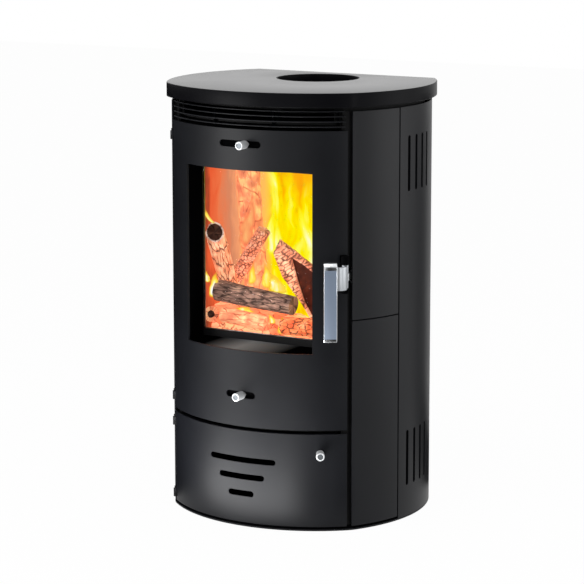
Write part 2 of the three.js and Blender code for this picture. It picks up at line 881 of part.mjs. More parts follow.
// Turned steel knob with a recessed end, on a stem.
function knob(z, stemFrom) {
  const shoulder = 2.5;
  return turned([
    [0, stemFrom],
    [4.4, stemFrom],
    [4.4, shoulder],
    [knobRadius - 0.8, shoulder],
    [knobRadius, shoulder + 0.8],
    [knobRadius, knobReach - 0.8],
    [knobRadius - 0.8, knobReach],
    [knobRadius - 2.2, knobReach],
    [knobRadius - 2.2, knobReach - 1.6],
    [0, knobReach - 1.6],
  ], z);
}

function slideKnob(slot) {
  return placeAtHeading(knob(slot.z, slideOffset[1] + seat), slot.knobHeading);
}

// ---------------------------------------------------------------- handle

const pivot = wallPoint(handlePivotHeading, handlePivotOffset);
const bracketBottomZ = 462;
const bracketTopZ = 532;
const gripFoot = wallPoint(gripHeading, 0);

// Plan point from the grip: along its face to the right, and out from the steel.
function gripPoint(along, offset) {
  const normal = outward(gripHeading);
  return new THREE.Vector2(
    gripFoot.x + normal.x * offset - normal.y * along,
    gripFoot.y + normal.y * offset + normal.x * along,
  );
}

// Flat bar whose face rolls back at the top and is chamfered at the foot.
function handleGrip() {
  const back = gripFaceOffset - gripThickness;
  const face = gripFaceOffset;
  const side = new THREE.Shape();
  side.moveTo(back, gripBottomZ);
  side.lineTo(face - 4, gripBottomZ);
  side.lineTo(face, gripBottomZ + 7);
  side.lineTo(face, gripTopZ - 14);
  side.quadraticCurveTo(face - 1, gripTopZ - 2, back + 2, gripTopZ);
  side.lineTo(back, gripTopZ);
  const geometry = new THREE.ExtrudeGeometry(side, {
    depth: gripWidth - 2,
    bevelEnabled: true,
    bevelThickness: 1,
    bevelSize: 1,
    bevelOffset: -1,
    bevelSegments: 1,
    curveSegments: 5,
  });
  geometry.translate(0, 0, 1 - gripWidth / 2);
  geometry.rotateX(Math.PI / 2).rotateZ(-Math.PI / 2);
  return placeAtHeading(geometry, gripHeading);
}

// Cranked arm: out of the back of the grip, round a quarter bend, into the hub.
function armLine(shift) {
  const start = gripPoint(4, gripFaceOffset - gripThickness / 2 + shift);
  const toGrip = outward(gripHeading);
  const reach = new THREE.Vector2().subVectors(pivot, gripFoot);
  const pivotAlong = reach.x * -toGrip.y + reach.y * toGrip.x;
  const pivotOffset = reach.dot(toGrip);
  const bend = 16;
  const mid = gripFaceOffset - gripThickness / 2;
  const points = [start];
  const steps = 6;
  for (let k = 0; k <= steps; k += 1) {
    const turn = (k / steps) * (Math.PI / 2);
    const radius = bend + shift;
    points.push(gripPoint(
      pivotAlong - bend + radius * Math.sin(turn),
      mid - bend + radius * Math.cos(turn),
    ));
  }
  points.push(gripPoint(pivotAlong + shift, pivotOffset));
  return points;
}

const pinBore = hingePinRadius + 0.4;

function handleArm() {
  const outline = armLine(armThickness / 2).concat(armLine(-armThickness / 2).reverse());
  const crank = prism(shapeOf(outline), armBottomZ, armTopZ);
  const hub = cylinder(pivot.x, pivot.y, armBottomZ, armTopZ, hubRadius, 20);
  const bore = cylinder(pivot.x, pivot.y, armBottomZ - 1, armTopZ + 1, pinBore, 14);
  const hookSeat = cut(
    cylinder(pivot.x, pivot.y, hookBottomZ - seat, hookTopZ + seat, hubRadius + 12, 20),
    cylinder(pivot.x, pivot.y, hookBottomZ - 1, hookTopZ + 1, hubRadius - 1.2, 20),
  );
  const { x, y } = pivot;
  const seatZone = box(x - 20, x + 20, y - 4, y + 20, hookBottomZ - seat, hookTopZ + seat);
  const gripSocket = placeGripSocket();
  return cut(join(crank, hub), bore, common(hookSeat, seatZone), gripSocket);
}

// Space that the grip takes out of the arm's end, with a seating gap all round.
function placeGripSocket() {
  const back = gripFaceOffset - gripThickness - seat;
  const half = gripWidth / 2 + seat;
  const socket = box(-half, half, -gripFaceOffset - 5, -back, armBottomZ - 1, armTopZ + 1);
  return placeAtHeading(socket, gripHeading);
}

const hookReach = 36.5;

// Hook on the hub; its lip turns behind the keeper pin when the handle is pressed in.
function latchHook() {
  const { x, y } = pivot;
  const thickness = 5;
  const eye = cylinder(x, y, hookBottomZ, hookTopZ, hubRadius + 1.6, 20);
  const end = y + hookReach + thickness;
  const shank = box(x - 7, x - 1, y, end, hookBottomZ, hookTopZ);
  const lip = box(x - 7, x + 4.5, y + hookReach, end, hookBottomZ, hookTopZ);
  const bore = cylinder(x, y, hookBottomZ - 1, hookTopZ + 1, hubRadius - 0.9, 20);
  const front = box(x - 12, x + 12, y - 12, y - 4 + seat, hookBottomZ - 1, hookTopZ + 1);
  return cut(join(eye, shank, lip), bore, front);
}

// Black bracket on the door edge: two lugs hold the handle's pin, joined by a spine
// behind the panel.
function handleBracket() {
  const { x, y } = pivot;
  const lugs = [[bracketBottomZ, armBottomZ - 0.5], [armTopZ + 0.5, bracketTopZ]].map(
    ([bottom, top]) => join(
      cylinder(x, y, bottom, top, hubRadius + 1.6, 20),
      prism(bandShape(38.8, 41.1, -9.2, handlePivotOffset - 1), bottom, top),
    ),
  );
  const spine = cut(
    prism(bandShape(38, 41.1, -9.2, -doorSheet - seat), bracketBottomZ, bracketTopZ),
    box(180.6, 200, -200, -160, armBottomZ - 0.5, armTopZ + 0.5),
  );
  const pin = cylinder(x, y, bracketBottomZ, bracketTopZ, hingePinRadius, 14);
  return join(...lugs, spine, pin);
}

// Keeper on the right post: an upright pin between two lugs.
function latchKeeper() {
  const pinX = pivot.x + 7.6;
  const pinY = pivot.y + 32.8;
  const [bottom, top] = [hookBottomZ - 10, hookTopZ + 10];
  const plateX = [postLegX + sheet + seat, pinX + 3];
  const back = box(plateX[0], plateX[1], -148.5, -146.5, bottom, top);
  const lugs = [[bottom, bottom + 4], [top - 4, top]].map(
    ([low, high]) => box(plateX[0], plateX[1], pinY - 3, -146.5, low, high),
  );
  return join(back, ...lugs, cylinder(pinX, pinY, bottom, top, 2.5, 12));
}

// ---------------------------------------------------------------- lower door

function lowerDoorPanel() {
  const skin = prism(bandShape(-doorEdge, doorEdge, -lowerDoorSheet, 0), casingBottomZ, lowerDoorTopZ);
  const folds = [casingBottomZ, lowerDoorTopZ - sheet].map((bottom) => prism(
    bandShape(-37, 37, -10, -lowerDoorSheet + 0.5),
    bottom,
    bottom + sheet,
  ));
  const slots = storeSlots.map(
    ([length, z]) => slotTool(0, z, length, storeSlotHeight, farFront, behindDoors),
  );
  const ears = lowerHingeZ.map((z) => doorEar(z, lowerDoorSheet));
  return join(cut(join(skin, ...folds), ...slots), ...ears);
}

function magnetCatch() {
  return join(
    box(storeHalfWidth + seat, 176, -186, -170, 84, 116),
    box(storeHalfWidth + 2.5, 174, -188.5, -185, 92, 108),
  );
}

// ---------------------------------------------------------------- fire

// A round log between two points, its section a slightly uneven polygon.
function roundLog({ from, to, radius, seed }, grow = 0) {
  const sides = 10;
  const section = [];
  for (let k = 0; k < sides; k += 1) {
    const turn = (k / sides) * Math.PI * 2;
    const wobble = 1 + 0.05 * Math.sin(3 * turn + seed) + 0.03 * Math.sin(5 * turn + 2 * seed);
    const reach = radius * wobble + grow;
    section.push(new THREE.Vector2(reach * Math.cos(turn), reach * Math.sin(turn)));
  }
  const start = new THREE.Vector3(...from);
  const end = new THREE.Vector3(...to);
  const length = start.distanceTo(end);
  const geometry = new THREE.ExtrudeGeometry(shapeOf(section), {
    depth: length + 2 * grow,
    bevelEnabled: false,
  });
  geometry.translate(0, 0, -grow);
  const turnTo = new THREE.Matrix4().lookAt(end, start, new THREE.Vector3(0, 0, 1));
  return geometry.applyMatrix4(turnTo).translate(start.x, start.y, start.z);
}

const roundLogs = {
  log_front: { from: [-135, -114, 425], to: [36, -114, 410], radius: 22, seed: 1 },
  log_left: { from: [-138, -52, 396], to: [-141.5, -116, 540], radius: 19.5, seed: 2 },
  log_middle: { from: [-151, -29, 428], to: [-80, -29, 537], radius: 14, seed: 4 },
  log_back: { from: [-122, 18, 360], to: [-141, 8, 655], radius: 23.5, seed: 3 },
  log_right_small: { from: [16, -118, 369], to: [112, -118, 375], radius: 18, seed: 5 },
};

// Split log leaning on its edge: its cut end shows a rounded triangle, [x, z].
const splitEnd = [
  [-24, 529], [13, 507], [54, 481], [90, 451], [86, 390], [70, 341], [24, 406], [-19, 454], [-40, 500],
];
const splitEndY = -64;
const splitRun = [-45, 80, 12];

function splitLog(grow = 0) {
  const share = 1 / splitEnd.length;
  const middle = splitEnd.reduce(([u, v], [x, z]) => [u + x * share, v + z * share], [0, 0]);
  const section = splitEnd.map(([x, z]) => {
    const spoke = new THREE.Vector2(x - middle[0], z - middle[1]);
    spoke.setLength(spoke.length() + grow);
    return new THREE.Vector2(middle[0] + spoke.x, middle[1] + spoke.y);
  });
  const geometry = new THREE.ExtrudeGeometry(shapeOf(section), { depth: 1, bevelEnabled: false });
  const [dx, dy, dz] = splitRun;
  const shear = new THREE.Matrix4().set(
    1, 0, -dx, dx,
    0, 0, -dy, splitEndY + dy,
    0, 1, -dz, dz,
    0, 0, 0, 1,
  );
  return geometry.applyMatrix4(shear);
}

// Heap of embers: steep towards the glass, higher on the left, low under the split log.
function emberBed() {
  const halfWidth = 150;
  const yRange = [-128, 66];
  const columns = 12;
  const rows = 10;
  const bottom = floorBrickTopZ + seat;
  const smooth = (low, high, value) => THREE.MathUtils.smoothstep(value, low, high);
  const topAt = (x, y) => {
    const side = 1 - smooth(-40, 20, x) + 0.3 * (1 - smooth(-150, 0, x));
    const corner = 34 * (1 - smooth(-150, -60, x)) * smooth(-95, -55, y) * (1 - smooth(-20, 50, y));
    const crest = smooth(yRange[0], yRange[0] + 22, y) * (1 - 0.55 * smooth(-60, yRange[1], y));
    const lumps = 3 * Math.sin(x / 9 + 1) * Math.cos(y / 11) + 2 * Math.sin(x / 5 + y / 6);
    return bottom + 10 + crest * (12 + 42 * side + lumps) + corner;
  };
  const points = [];
  const index = [];
  for (const top of [false, true]) {
    for (let j = 0; j <= rows; j += 1) {
      for (let i = 0; i <= columns; i += 1) {
        const x = (i / columns) * 2 * halfWidth - halfWidth;
        const y = yRange[0] + (j / rows) * (yRange[1] - yRange[0]);
        points.push(x, y, top ? topAt(x, y) : bottom);
      }
    }
  }
  const layer = (columns + 1) * (rows + 1);
  const at = (i, j) => j * (columns + 1) + i;
  const quad = (a, b, c, d) => index.push(a, b, c, a, c, d);
  for (let j = 0; j < rows; j += 1) {
    for (let i = 0; i < columns; i += 1) {
      const [a, b, c, d] = [at(i, j), at(i + 1, j), at(i + 1, j + 1), at(i, j + 1)];
      quad(a + layer, b + layer, c + layer, d + layer);
      quad(a, d, c, b);
    }
  }
  const wall = (a, b) => quad(a, b, b + layer, a + layer);
  for (let i = 0; i < columns; i += 1) {
    wall(at(i, 0), at(i + 1, 0));
    wall(at(i + 1, rows), at(i, rows));
  }
  for (let j = 0; j < rows; j += 1) {
    wall(at(columns, j), at(columns, j + 1));
    wall(at(0, j + 1), at(0, j));
  }
  const geometry = new THREE.BufferGeometry();
  geometry.setAttribute("position", new THREE.Float32BufferAttribute(points, 3));
  geometry.setIndex(index);
  const seats = Object.values(roundLogs).map((place) => roundLog(place, seat));
  return cut(geometry, ...seats, splitLog(seat * 2));
}

// ---------------------------------------------------------------- assembly

add("base_plate", prism(outlineShape(0), 0, baseThickness), finish.stovePaint);
add("plinth", ring(-7, -9, baseThickness + seat, plinthTopZ), finish.darkSteel);
add("storage_floor", storePlate(storeBottomZ), finish.darkSteel);
add("storage_compartment", storageCompartment(), finish.darkSteel);
add("storage_top", storePlate(storeTopZ - sheet), finish.darkSteel);
add("middle_deck", middleDeck(), finish.darkSteel);

add("front_post_right", cut(frontPost(), latchSlot()), finish.darkSteel);
const caseEars = [...mainHingeZ, ...lowerHingeZ].map(caseEar);
add("front_post_left", join(mirrored(frontPost()), ...caseEars), finish.darkSteel);

add("front_frame", frontFrame(), finish.darkSteel);
add("firebox_shell", fireboxShell(), finish.darkSteel);
add("firebox_top", fireboxTop(), finish.darkSteel);
add("hearth_plate", hearthPlate(), finish.darkSteel);
add("brick_right", sideBrick(), finish.vermiculite);
add("brick_left", mirrored(sideBrick()), finish.vermiculite);
add("brick_back", backBrick(), finish.vermiculite);
add("brick_floor", floorBrick(), finish.vermiculite);
add("grate", grate(), finish.castIron);
add("baffle_plate", bafflePlate(), finish.vermiculite);
add("log_retainer", logRetainer(), finish.castIron);
add("ash_pan", ashPanTray(), finish.zincSteel);
add("flue_collar", flueCollar(), finish.castIron);

add("top_deck", topDeck(), finish.darkSteel);
add("air_grille", airGrille(), finish.stovePaint);
add("top_plate", topPlate(), finish.stovePaint);

const lowerSide = sidePanel(casingBottomZ, sideSeamZ - 1);
const upperSide = sidePanel(sideSeamZ + 1, casingTopZ);
add("side_panel_lower_right", lowerSide, finish.stovePaint);
add("side_panel_lower_left", mirrored(lowerSide), finish.stovePaint);
add("side_panel_upper_right", upperSide, finish.stovePaint);
add("side_panel_upper_left", mirrored(upperSide), finish.stovePaint);
const shell = rearShell();
add("rear_shell_right", shell, finish.stovePaint);
add("rear_shell_left", mirrored(shell), finish.stovePaint);
add("back_panel", backPanel(), finish.stovePaint);

add("latch_keeper", latchKeeper(), finish.zincSteel);
add("magnet_catch", magnetCatch(), finish.zincSteel);

add("door_panel", doorPanel(), finish.stovePaint);
add("door_liner", doorLiner(), finish.darkSteel);
add("window_reveal", windowReveal(), finish.darkSteel);
add("glass_frame", glassFrame(), finish.castIron);
add("door_glass", doorGlass(), finish.glass);
add("glass_retainer", glassRetainer(), finish.zincSteel);
add("door_seal", doorSeal(), finish.sealRope);
add("upper_slide_guide", slideGuide(upperSlot), finish.darkSteel);
add("lower_slide_guide", slideGuide(lowerSlot), finish.darkSteel);
add("handle_bracket", handleBracket(), finish.darkSteel);

add("upper_slide_plate", slidePlate(upperSlot, -14.5, 20), finish.darkSteel);
add("upper_knob", slideKnob(upperSlot), finish.brushedSteel);
add("lower_slide_plate", slidePlate(lowerSlot, -11, 13), finish.darkSteel);
add("lower_knob", slideKnob(lowerSlot), finish.brushedSteel);

add("handle_grip", handleGrip(), finish.chrome);
add("handle_arm", handleArm(), finish.chrome);
add("latch_hook", latchHook(), finish.zincSteel);

add("lower_door_panel", lowerDoorPanel(), finish.stovePaint);
add("lower_door_knob", placeAtHeading(knob(storeKnob.z, seat), storeKnob.heading), finish.brushedSteel);

add("ember_bed", emberBed(), finish.embers);
for (const [name, place] of Object.entries(roundLogs)) add(name, roundLog(place), finish.bark);
add("log_right_split", splitLog(), finish.char);

// Centre of the footprint: from the tip of the front knobs to the back of the plate.
const frontMostY = frontCentreY - frontRadius - knobReach;
const rearMostY = backY + plateOverhang;
stove.position.y = -(frontMostY + rearMostY) / 2;

const model = new THREE.Group();
model.add(stove);

export default model;
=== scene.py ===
"""Freestanding wood stove on a D-shaped plan: smooth casing, finishes, fire and stage.

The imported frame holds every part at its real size. This file dresses it: the curved
sheet-metal parts are remade finely on the same plan, the logs get bark and the fire
gets flames, and every surface gets its finish. Sizes are millimetres until they reach
a mesh, and the plan is drawn from the same origin as the stove's own plan.
"""

import json
import math

import bmesh
import bpy
from bpy.props import FloatProperty, FloatVectorProperty, IntProperty, PointerProperty
from mathutils import Matrix, Vector, noise
from mathutils.geometry import delaunay_2d_cdt


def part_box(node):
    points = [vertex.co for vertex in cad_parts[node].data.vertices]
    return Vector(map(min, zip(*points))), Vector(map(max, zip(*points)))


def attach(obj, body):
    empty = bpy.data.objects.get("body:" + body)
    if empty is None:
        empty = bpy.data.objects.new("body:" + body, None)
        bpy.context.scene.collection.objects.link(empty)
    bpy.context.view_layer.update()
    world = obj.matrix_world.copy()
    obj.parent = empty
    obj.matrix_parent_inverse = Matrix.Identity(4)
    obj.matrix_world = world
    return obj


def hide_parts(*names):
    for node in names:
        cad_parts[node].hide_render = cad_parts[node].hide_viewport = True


bl_info = {
    "name": "Curved Wood Stove",
    "version": (1, 0, 0),
    "blender": (4, 5, 0),
    "location": "View3D > Sidebar > Stove",
    "description": "Builds the casing, doors, handle, fire and finishes of a curved wood stove",
    "category": "Add Mesh",
}

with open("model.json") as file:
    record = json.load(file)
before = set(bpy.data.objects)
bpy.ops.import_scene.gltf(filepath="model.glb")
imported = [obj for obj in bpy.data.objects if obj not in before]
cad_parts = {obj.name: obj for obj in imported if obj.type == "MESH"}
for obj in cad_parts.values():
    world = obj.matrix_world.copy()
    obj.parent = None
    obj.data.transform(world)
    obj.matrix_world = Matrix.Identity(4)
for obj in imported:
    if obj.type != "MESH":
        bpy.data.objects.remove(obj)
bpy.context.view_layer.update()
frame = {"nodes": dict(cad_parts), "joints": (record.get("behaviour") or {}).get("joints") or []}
nodes = frame["nodes"]
joints = {joint["name"]: joint for joint in frame["joints"]}

MM = 0.001

# ---------------------------------------------------------------- driving dimensions, mm

FRONT_RADIUS = 292.4
FRONT_HALF_ANGLE = 41.48
CORNER_RADIUS = 62.5
CORNER_HEADING = FRONT_HALF_ANGLE + 15.34
SIDE_RADIUS = 278.5
FRONT_CENTRE = Vector((0, 37.5))
BACK_Y = 147.9
BEND_RADIUS = 5

DOOR_EDGE = 41.2
SIDE_SPAN = (48.9, 78.1)
REAR_START = 78.7
REAR_END_X = 150

DOOR_SHEET = 4
LOWER_DOOR_SHEET = 3
CASING_SHEET = 3

# The fire door's sheet and the store door's sheet each end a little short of their
# nodes where they meet, so that the gap between them shows as a dark line.
DOOR_BOTTOM = 196.5
STORE_DOOR_SHORT = 1

# The notch in the fire door's right edge that the handle's hub stands in.
NOTCH_HEADINGS = (38.4, 42.4)
NOTCH_OFFSETS = (-12, 8)
NOTCH_HEIGHTS = (461, 533)

FOLD_HALF_ANGLE = 37
FOLD_HEIGHT = 2
FOLD_INSET = 3.1
FOLD_DEPTH = 6.9

# Heights of the feet of the case's hinge ears, which the doors' eyes sit above.
MAIN_EARS = (212, 728)
STORE_EARS = (14, 160)
ABOVE_EAR = (8.4, 16.4)
HINGE_HEADING = -44.55
HINGE_OFFSET = 0.3
KNUCKLE_RADIUS = 4.4
KNUCKLE_BORE = 2.95
ROOT_HEADINGS = (-45.5, -44, -42.5, -41, -39.5, -38.1)
ROOT_OFFSETS = (-6.5, -9.2)

WINDOW = {"half": 138, "bottom": 344, "top": 688.5}
UPPER_SLOT = {"length": 90, "height": 13, "z": 738}
LOWER_SLOT = {"length": 64, "height": 13, "z": 258}
STORE_SLOTS = ((146, 131), (100, 98), (56, 65))
STORE_SLOT_HEIGHT = 11
LOUVRE_HEADINGS = (84.7, 90.3, 95.9, 101.5)
LOUVRE_WIDTH = 8.5
LOUVRE_SPANS = ((64, 173.5), (640, 747))

PLATE_OVERHANG = 9.65
PLATE_CORNER = 6
PLATE_HOLE_RADIUS = 81
FLUE_Y = 45.5

SLAT_TOPS = 803.6
SLAT_PITCH = 9.7
SLAT_COUNT = 4
SLAT_HALF_ANGLE = 40.3
SLAT_DEPTH = 9.0
SLAT_THICKNESS = 2.0
SLAT_SETBACK = 0.3
UPRIGHT_HEADINGS = (-38, -13, 13, 38)
UPRIGHT_HALF_ANGLE = 0.4
UPRIGHT_OFFSETS = (-12.6, -9.0)

KNOB_RADIUS = 7.8
KNOB_STEM = 4.4
KNOB_REACH = 26.6
KNOBS = (
    # name, node, body, heading, height, offset of the foot from the wall
    ("upper_air_knob", "upper_knob", "upper_air_slide", 2.75, UPPER_SLOT["z"], -5.7),
    ("lower_air_knob", "lower_knob", "lower_air_slide", 1.0, LOWER_SLOT["z"], -5.7),
    ("store_door_knob", "lower_door_knob", "lower_door", 31.1, 152, 0.3),
)

GRIP_HEADING = 34.2
GRIP_FACE = 41
GRIP_THICKNESS = 11
GRIP_WIDTH = 25
PIVOT_HEADING = 40
PIVOT_OFFSET = 8
ARM_THICKNESS = 6
ARM_BEND = 16
HUB_RADIUS = 6

SENSOR_MM = 36.0
FOCAL_PIXELS = 2374.9
PICTURE_PIXELS = 584
CAMERA_SHIFT = (-0.0248, -0.08)

LAMPS = (
    # name, azimuth, elevation, distance in m, size in m, power in W, target in m
    ("soft_box_front_left", -33, -2, 2.2, (1.0, 0.8), 21, (0, 0, 0.48)),
    ("strip_right", 66, 2, 2.0, (0.22, 1.2), 5, (0, 0, 0.42)),
    ("soft_box_right", 112, 6, 2.2, (1.3, 1.2), 10, (0, 0, 0.42)),
    ("soft_box_above", 10, 62, 2.6, (1.6, 1.2), 24, (0, 0, 0.42)),
    ("floor_glow", 0, -90, 0.199, (0.6, 0.22), 7, (-0.06, -0.39, 0.2)),
)
CARDS = (
    # name, azimuth, then in m: distance, width, height, how near the tip is, its width
    ("card_left", -112, 1.2, 2.6, 0.84, 0.2, 0.7),
    ("card_front_right", 44, 1.5, 0.8, 1.2, 0.33, 0.3),
    ("card_back_right", 156, 1.3, 0.45, 0.7, 0.33, 0.3),
)

# The plan's origin in the frame: the air slides turn about the door curve's centre.
slide_axis = Vector(joints["upper_slide_travel"]["pos_m"])
plan_origin = Vector((slide_axis.x, slide_axis.y - FRONT_CENTRE.y * MM, 0))


def linear(code):
    """Scene-linear red, green and blue of an sRGB colour written as hex."""
    values = [int(code[k : k + 2], 16) / 255 for k in (1, 3, 5)]
    return [v / 12.92 if v <= 0.04045 else ((v + 0.055) / 1.055) ** 2.4 for v in values]


def colour(code):
    return (*linear(code), 1.0)


def to_hex(values):
    """sRGB hex of a scene-linear colour, as the settings hold it."""
    codes = []
    for v in values[:3]:
        s = 12.92 * v if v <= 0.0031308 else 1.055 * v ** (1 / 2.4) - 0.055
        codes.append(f"{round(max(0, min(1, s)) * 255):02x}")
    return "#" + "".join(codes)


# ---------------------------------------------------------------- plan


def outward(heading):
    turn = math.radians(heading)
    return Vector((math.sin(turn), -math.cos(turn)))


def heading_from(point, centre):
    return math.degrees(math.atan2(point.x - centre.x, centre.y - point.y))


CORNER_CENTRE = FRONT_CENTRE + outward(FRONT_HALF_ANGLE) * (FRONT_RADIUS - CORNER_RADIUS)
SIDE_CENTRE = CORNER_CENTRE + outward(CORNER_HEADING) * (CORNER_RADIUS - SIDE_RADIUS)


def bend_centre(side_radius, back, bend):
    """Centre of the bend that joins a side arc to the flat back."""
    y = back - bend
    rise = y - SIDE_CENTRE.y
    return Vector((SIDE_CENTRE.x + math.sqrt((side_radius - bend) ** 2 - rise**2), y))


BEND_CENTRE = bend_centre(SIDE_RADIUS, BACK_Y, BEND_RADIUS)
BEND_HEADING = heading_from(BEND_CENTRE, SIDE_CENTRE)


def wall_frame(place):
    """Point and outward normal of the steel's outer surface on the plan.

    place is a heading in degrees, negative to the left, up to 180, where the flat back
    starts. Beyond that each unit is a millimetre along the back towards the middle.
    """
    if place > 180:
        return Vector((BEND_CENTRE.x - (place - 180), BACK_Y)), Vector((0, 1))
    turn = abs(place)
    centre, radius = SIDE_CENTRE, SIDE_RADIUS
    if turn <= FRONT_HALF_ANGLE:
        centre, radius = FRONT_CENTRE, FRONT_RADIUS
    elif turn <= CORNER_HEADING:
        centre, radius = CORNER_CENTRE, CORNER_RADIUS
    elif turn > BEND_HEADING:
        centre, radius = BEND_CENTRE, BEND_RADIUS
    normal = outward(turn)
    point = centre + normal * radius
    if place < 0:
        return Vector((-point.x, point.y)), Vector((-normal.x, normal.y))
    return point, normal


def wall_point(place, offset=0):
    point, normal = wall_frame(place)
    return point + normal * offset


def wall_box(start, end, inner, outer):
    """Plan corners of a piece between two places and two offsets of the wall."""
    corners = ((start, inner), (end, inner), (end, outer), (start, outer))
    return [wall_point(place, offset) for place, offset in corners]


def wall_normal(x, y):
    """Outward normal of the casing at the plan point nearest to (x, y)."""
    sign = -1 if x < 0 else 1
    point = Vector((abs(x), y))
    front = heading_from(point, FRONT_CENTRE)
    corner = heading_from(point, CORNER_CENTRE)
    side = heading_from(point, SIDE_CENTRE)
    if 0 <= front <= FRONT_HALF_ANGLE:
        normal = outward(front)
    elif corner <= CORNER_HEADING:
        normal = outward(corner)
    elif side <= BEND_HEADING:
        normal = outward(side)
    elif point.x > BEND_CENTRE.x:
        normal = outward(heading_from(point, BEND_CENTRE))
    else:
        normal = Vector((0, 1))
    return Vector((sign * normal.x, normal.y, 0))


def stations(start, end):
    """Places along the wall where a finely bent sheet gets a row of points."""
    fine, bend_step = 1.0, 8.0
    places = [start]
    place = start
    while place < end:
        step = fine
        if place >= BEND_HEADING - 0.01:
            step = bend_step
        if place >= 180:
            step = end - place
        ahead = (math.floor(place / step + 1e-6) + 1) * step if step == fine else place + step
        for kink in (BEND_HEADING, 180):
            if place < kink - 0.01 < ahead:
                ahead = kink
        place = min(ahead, end)
        if place - places[-1] > 0.2 or place == end:
            places.append(place)
    return places


def quarter(steps):
    """Sine and cosine at even steps of a quarter turn."""
    turns = [math.pi / 2 * k / steps for k in range(steps + 1)]
    return [(math.sin(turn), math.cos(turn)) for turn in turns]


def curve_at(start, pull, end, t):
    """Point at share t of a curve that leaves its start towards pull and comes to its end."""
    return start * (1 - t) ** 2 + pull * (2 * t * (1 - t)) + end * t**2


def to_frame(x, y, z):
    return Vector((x * MM, y * MM, z * MM)) + plan_origin


def heights(node):
    """Bottom and top of a node in millimetres."""
    low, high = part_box(node)
    return low.z / MM, high.z / MM


# ---------------------------------------------------------------- meshes


def link_object(name, mesh):
    made = bpy.data.objects.new(name, mesh)
    bpy.context.scene.collection.objects.link(made)
    return made


def clean_mesh(mesh, merge=True, outwards=True):
    """Merges doubled points and turns the faces outwards."""
    shape = bmesh.new()
    shape.from_mesh(mesh)
    if merge:
        bmesh.ops.remove_doubles(shape, verts=shape.verts, dist=1e-6)
    if outwards:
        bmesh.ops.recalc_face_normals(shape, faces=shape.faces)
    shape.to_mesh(mesh)
    shape.free()


def mesh_object(name, points, faces):
    """A mesh object from points in plan millimetres, with its normals made consistent."""
    mesh = bpy.data.meshes.new(name)
    mesh.from_pydata([to_frame(*p) for p in points], [], faces)
    clean_mesh(mesh)
    return link_object(name, mesh)


def skin(rows, capped=False):
    """Faces between closed rows of point numbers, where a row of one point is a pole."""
    faces = []
    for low, high in zip(rows, rows[1:]):
        for k in range(max(len(low), len(high))):
            corners = [low[k % len(low)], low[(k + 1) % len(low)]]
            corners += [high[(k + 1) % len(high)], high[k % len(high)]]
            faces.append(tuple(dict.fromkeys(corners)))
    if capped:
        faces += [tuple(rows[0]), tuple(rows[-1])]
    return faces


def even_rows(count, size):
    """Numbers of the points of so many rows, all of one size."""
    return [range(row * size, (row + 1) * size) for row in range(count)]


def apply_modifiers(made):
    """Turns the object as its modifiers show it into its plain mesh."""
    graph = bpy.context.evaluated_depsgraph_get()
    graph.update()
    baked = bpy.data.meshes.new_from_object(made.evaluated_get(graph), depsgraph=graph)
    made.modifiers.clear()
    old = made.data
    made.data = baked
    baked.name = made.name
    bpy.data.meshes.remove(old)
    return made


def ease_edges(made, width, segments=2, limit=50):
    """Breaks the sharp edges, as deburred and painted sheet has them."""
    bevel = made.modifiers.new("eased", "BEVEL")
    bevel.width = width * MM
    bevel.segments = segments
    bevel.limit_method = "ANGLE"
    bevel.angle_limit = math.radians(limit)
    bevel.use_clamp_overlap = True
    return apply_modifiers(made)


def combine(made, other, operation="UNION"):
    boolean = made.modifiers.new("combined", "BOOLEAN")
    boolean.operation = operation
    boolean.solver = "EXACT"
    boolean.object = other
    apply_modifiers(made)
    bpy.data.objects.remove(other)


def shade(made, angle=35):
    made.data.shade_smooth()
    made.data.set_sharp_from_angle(angle=math.radians(angle))
    return made


def shade_on_plan(made):
    """Gives the bent faces the true normals of the curve, so that gloss runs evenly."""
    mesh = made.data
    mesh.shade_smooth()
    normals = [Vector((0, 0, 0))] * len(mesh.loops)
    for face in mesh.polygons:
        for k in face.loop_indices:
            spot = mesh.vertices[mesh.loops[k].vertex_index].co - plan_origin
            true = wall_normal(spot.x / MM, spot.y / MM)
            along = face.normal.dot(true)
            normals[k] = face.normal.copy()
            if abs(along) > 0.97:
                normals[k] = true if along > 0 else -true
    mesh.normals_split_custom_set(normals)


def finish_piece(made, body, material, replaced=()):
    """Gives a finished piece its finish, its body and the nodes that it stands for."""
    if material is not None:
        made.data.materials.clear()
        made.data.materials.append(material)
    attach(made, body)
    if replaced:
        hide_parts(*replaced)


def finish_sheet(made, sizes, body, node):
    """Eases, shades and paints a bent sheet that stands for its node."""
    ease_edges(made, sizes.sheet_edge)
    shade_on_plan(made)
    finish_piece(made, body, finishes["paint"], [node])


def second_finish(made, key, chosen):
    """Gives the faces that a test picks a finish of their own."""
    made.data.materials.append(finishes[key])
    for face in made.data.polygons:
        if chosen(face):
            face.material_index = 1


def dress_node(name, material):
    """Gives a node that stays as it is its finish."""
    mesh = nodes[name].data
    mesh.materials.clear()
    mesh.materials.append(material)
    for face in mesh.polygons:
        face.material_index = 0


def inside_loop(point, loop):
    """True where a 2-D point lies inside a closed loop."""
    inside = False
    for k, a in enumerate(loop):
        b = loop[k - 1]
        if (a[1] > point[1]) != (b[1] > point[1]):
            cross = (b[0] - a[0]) * (point[1] - a[1]) / (b[1] - a[1]) + a[0]
            inside ^= point[0] < cross
    return inside


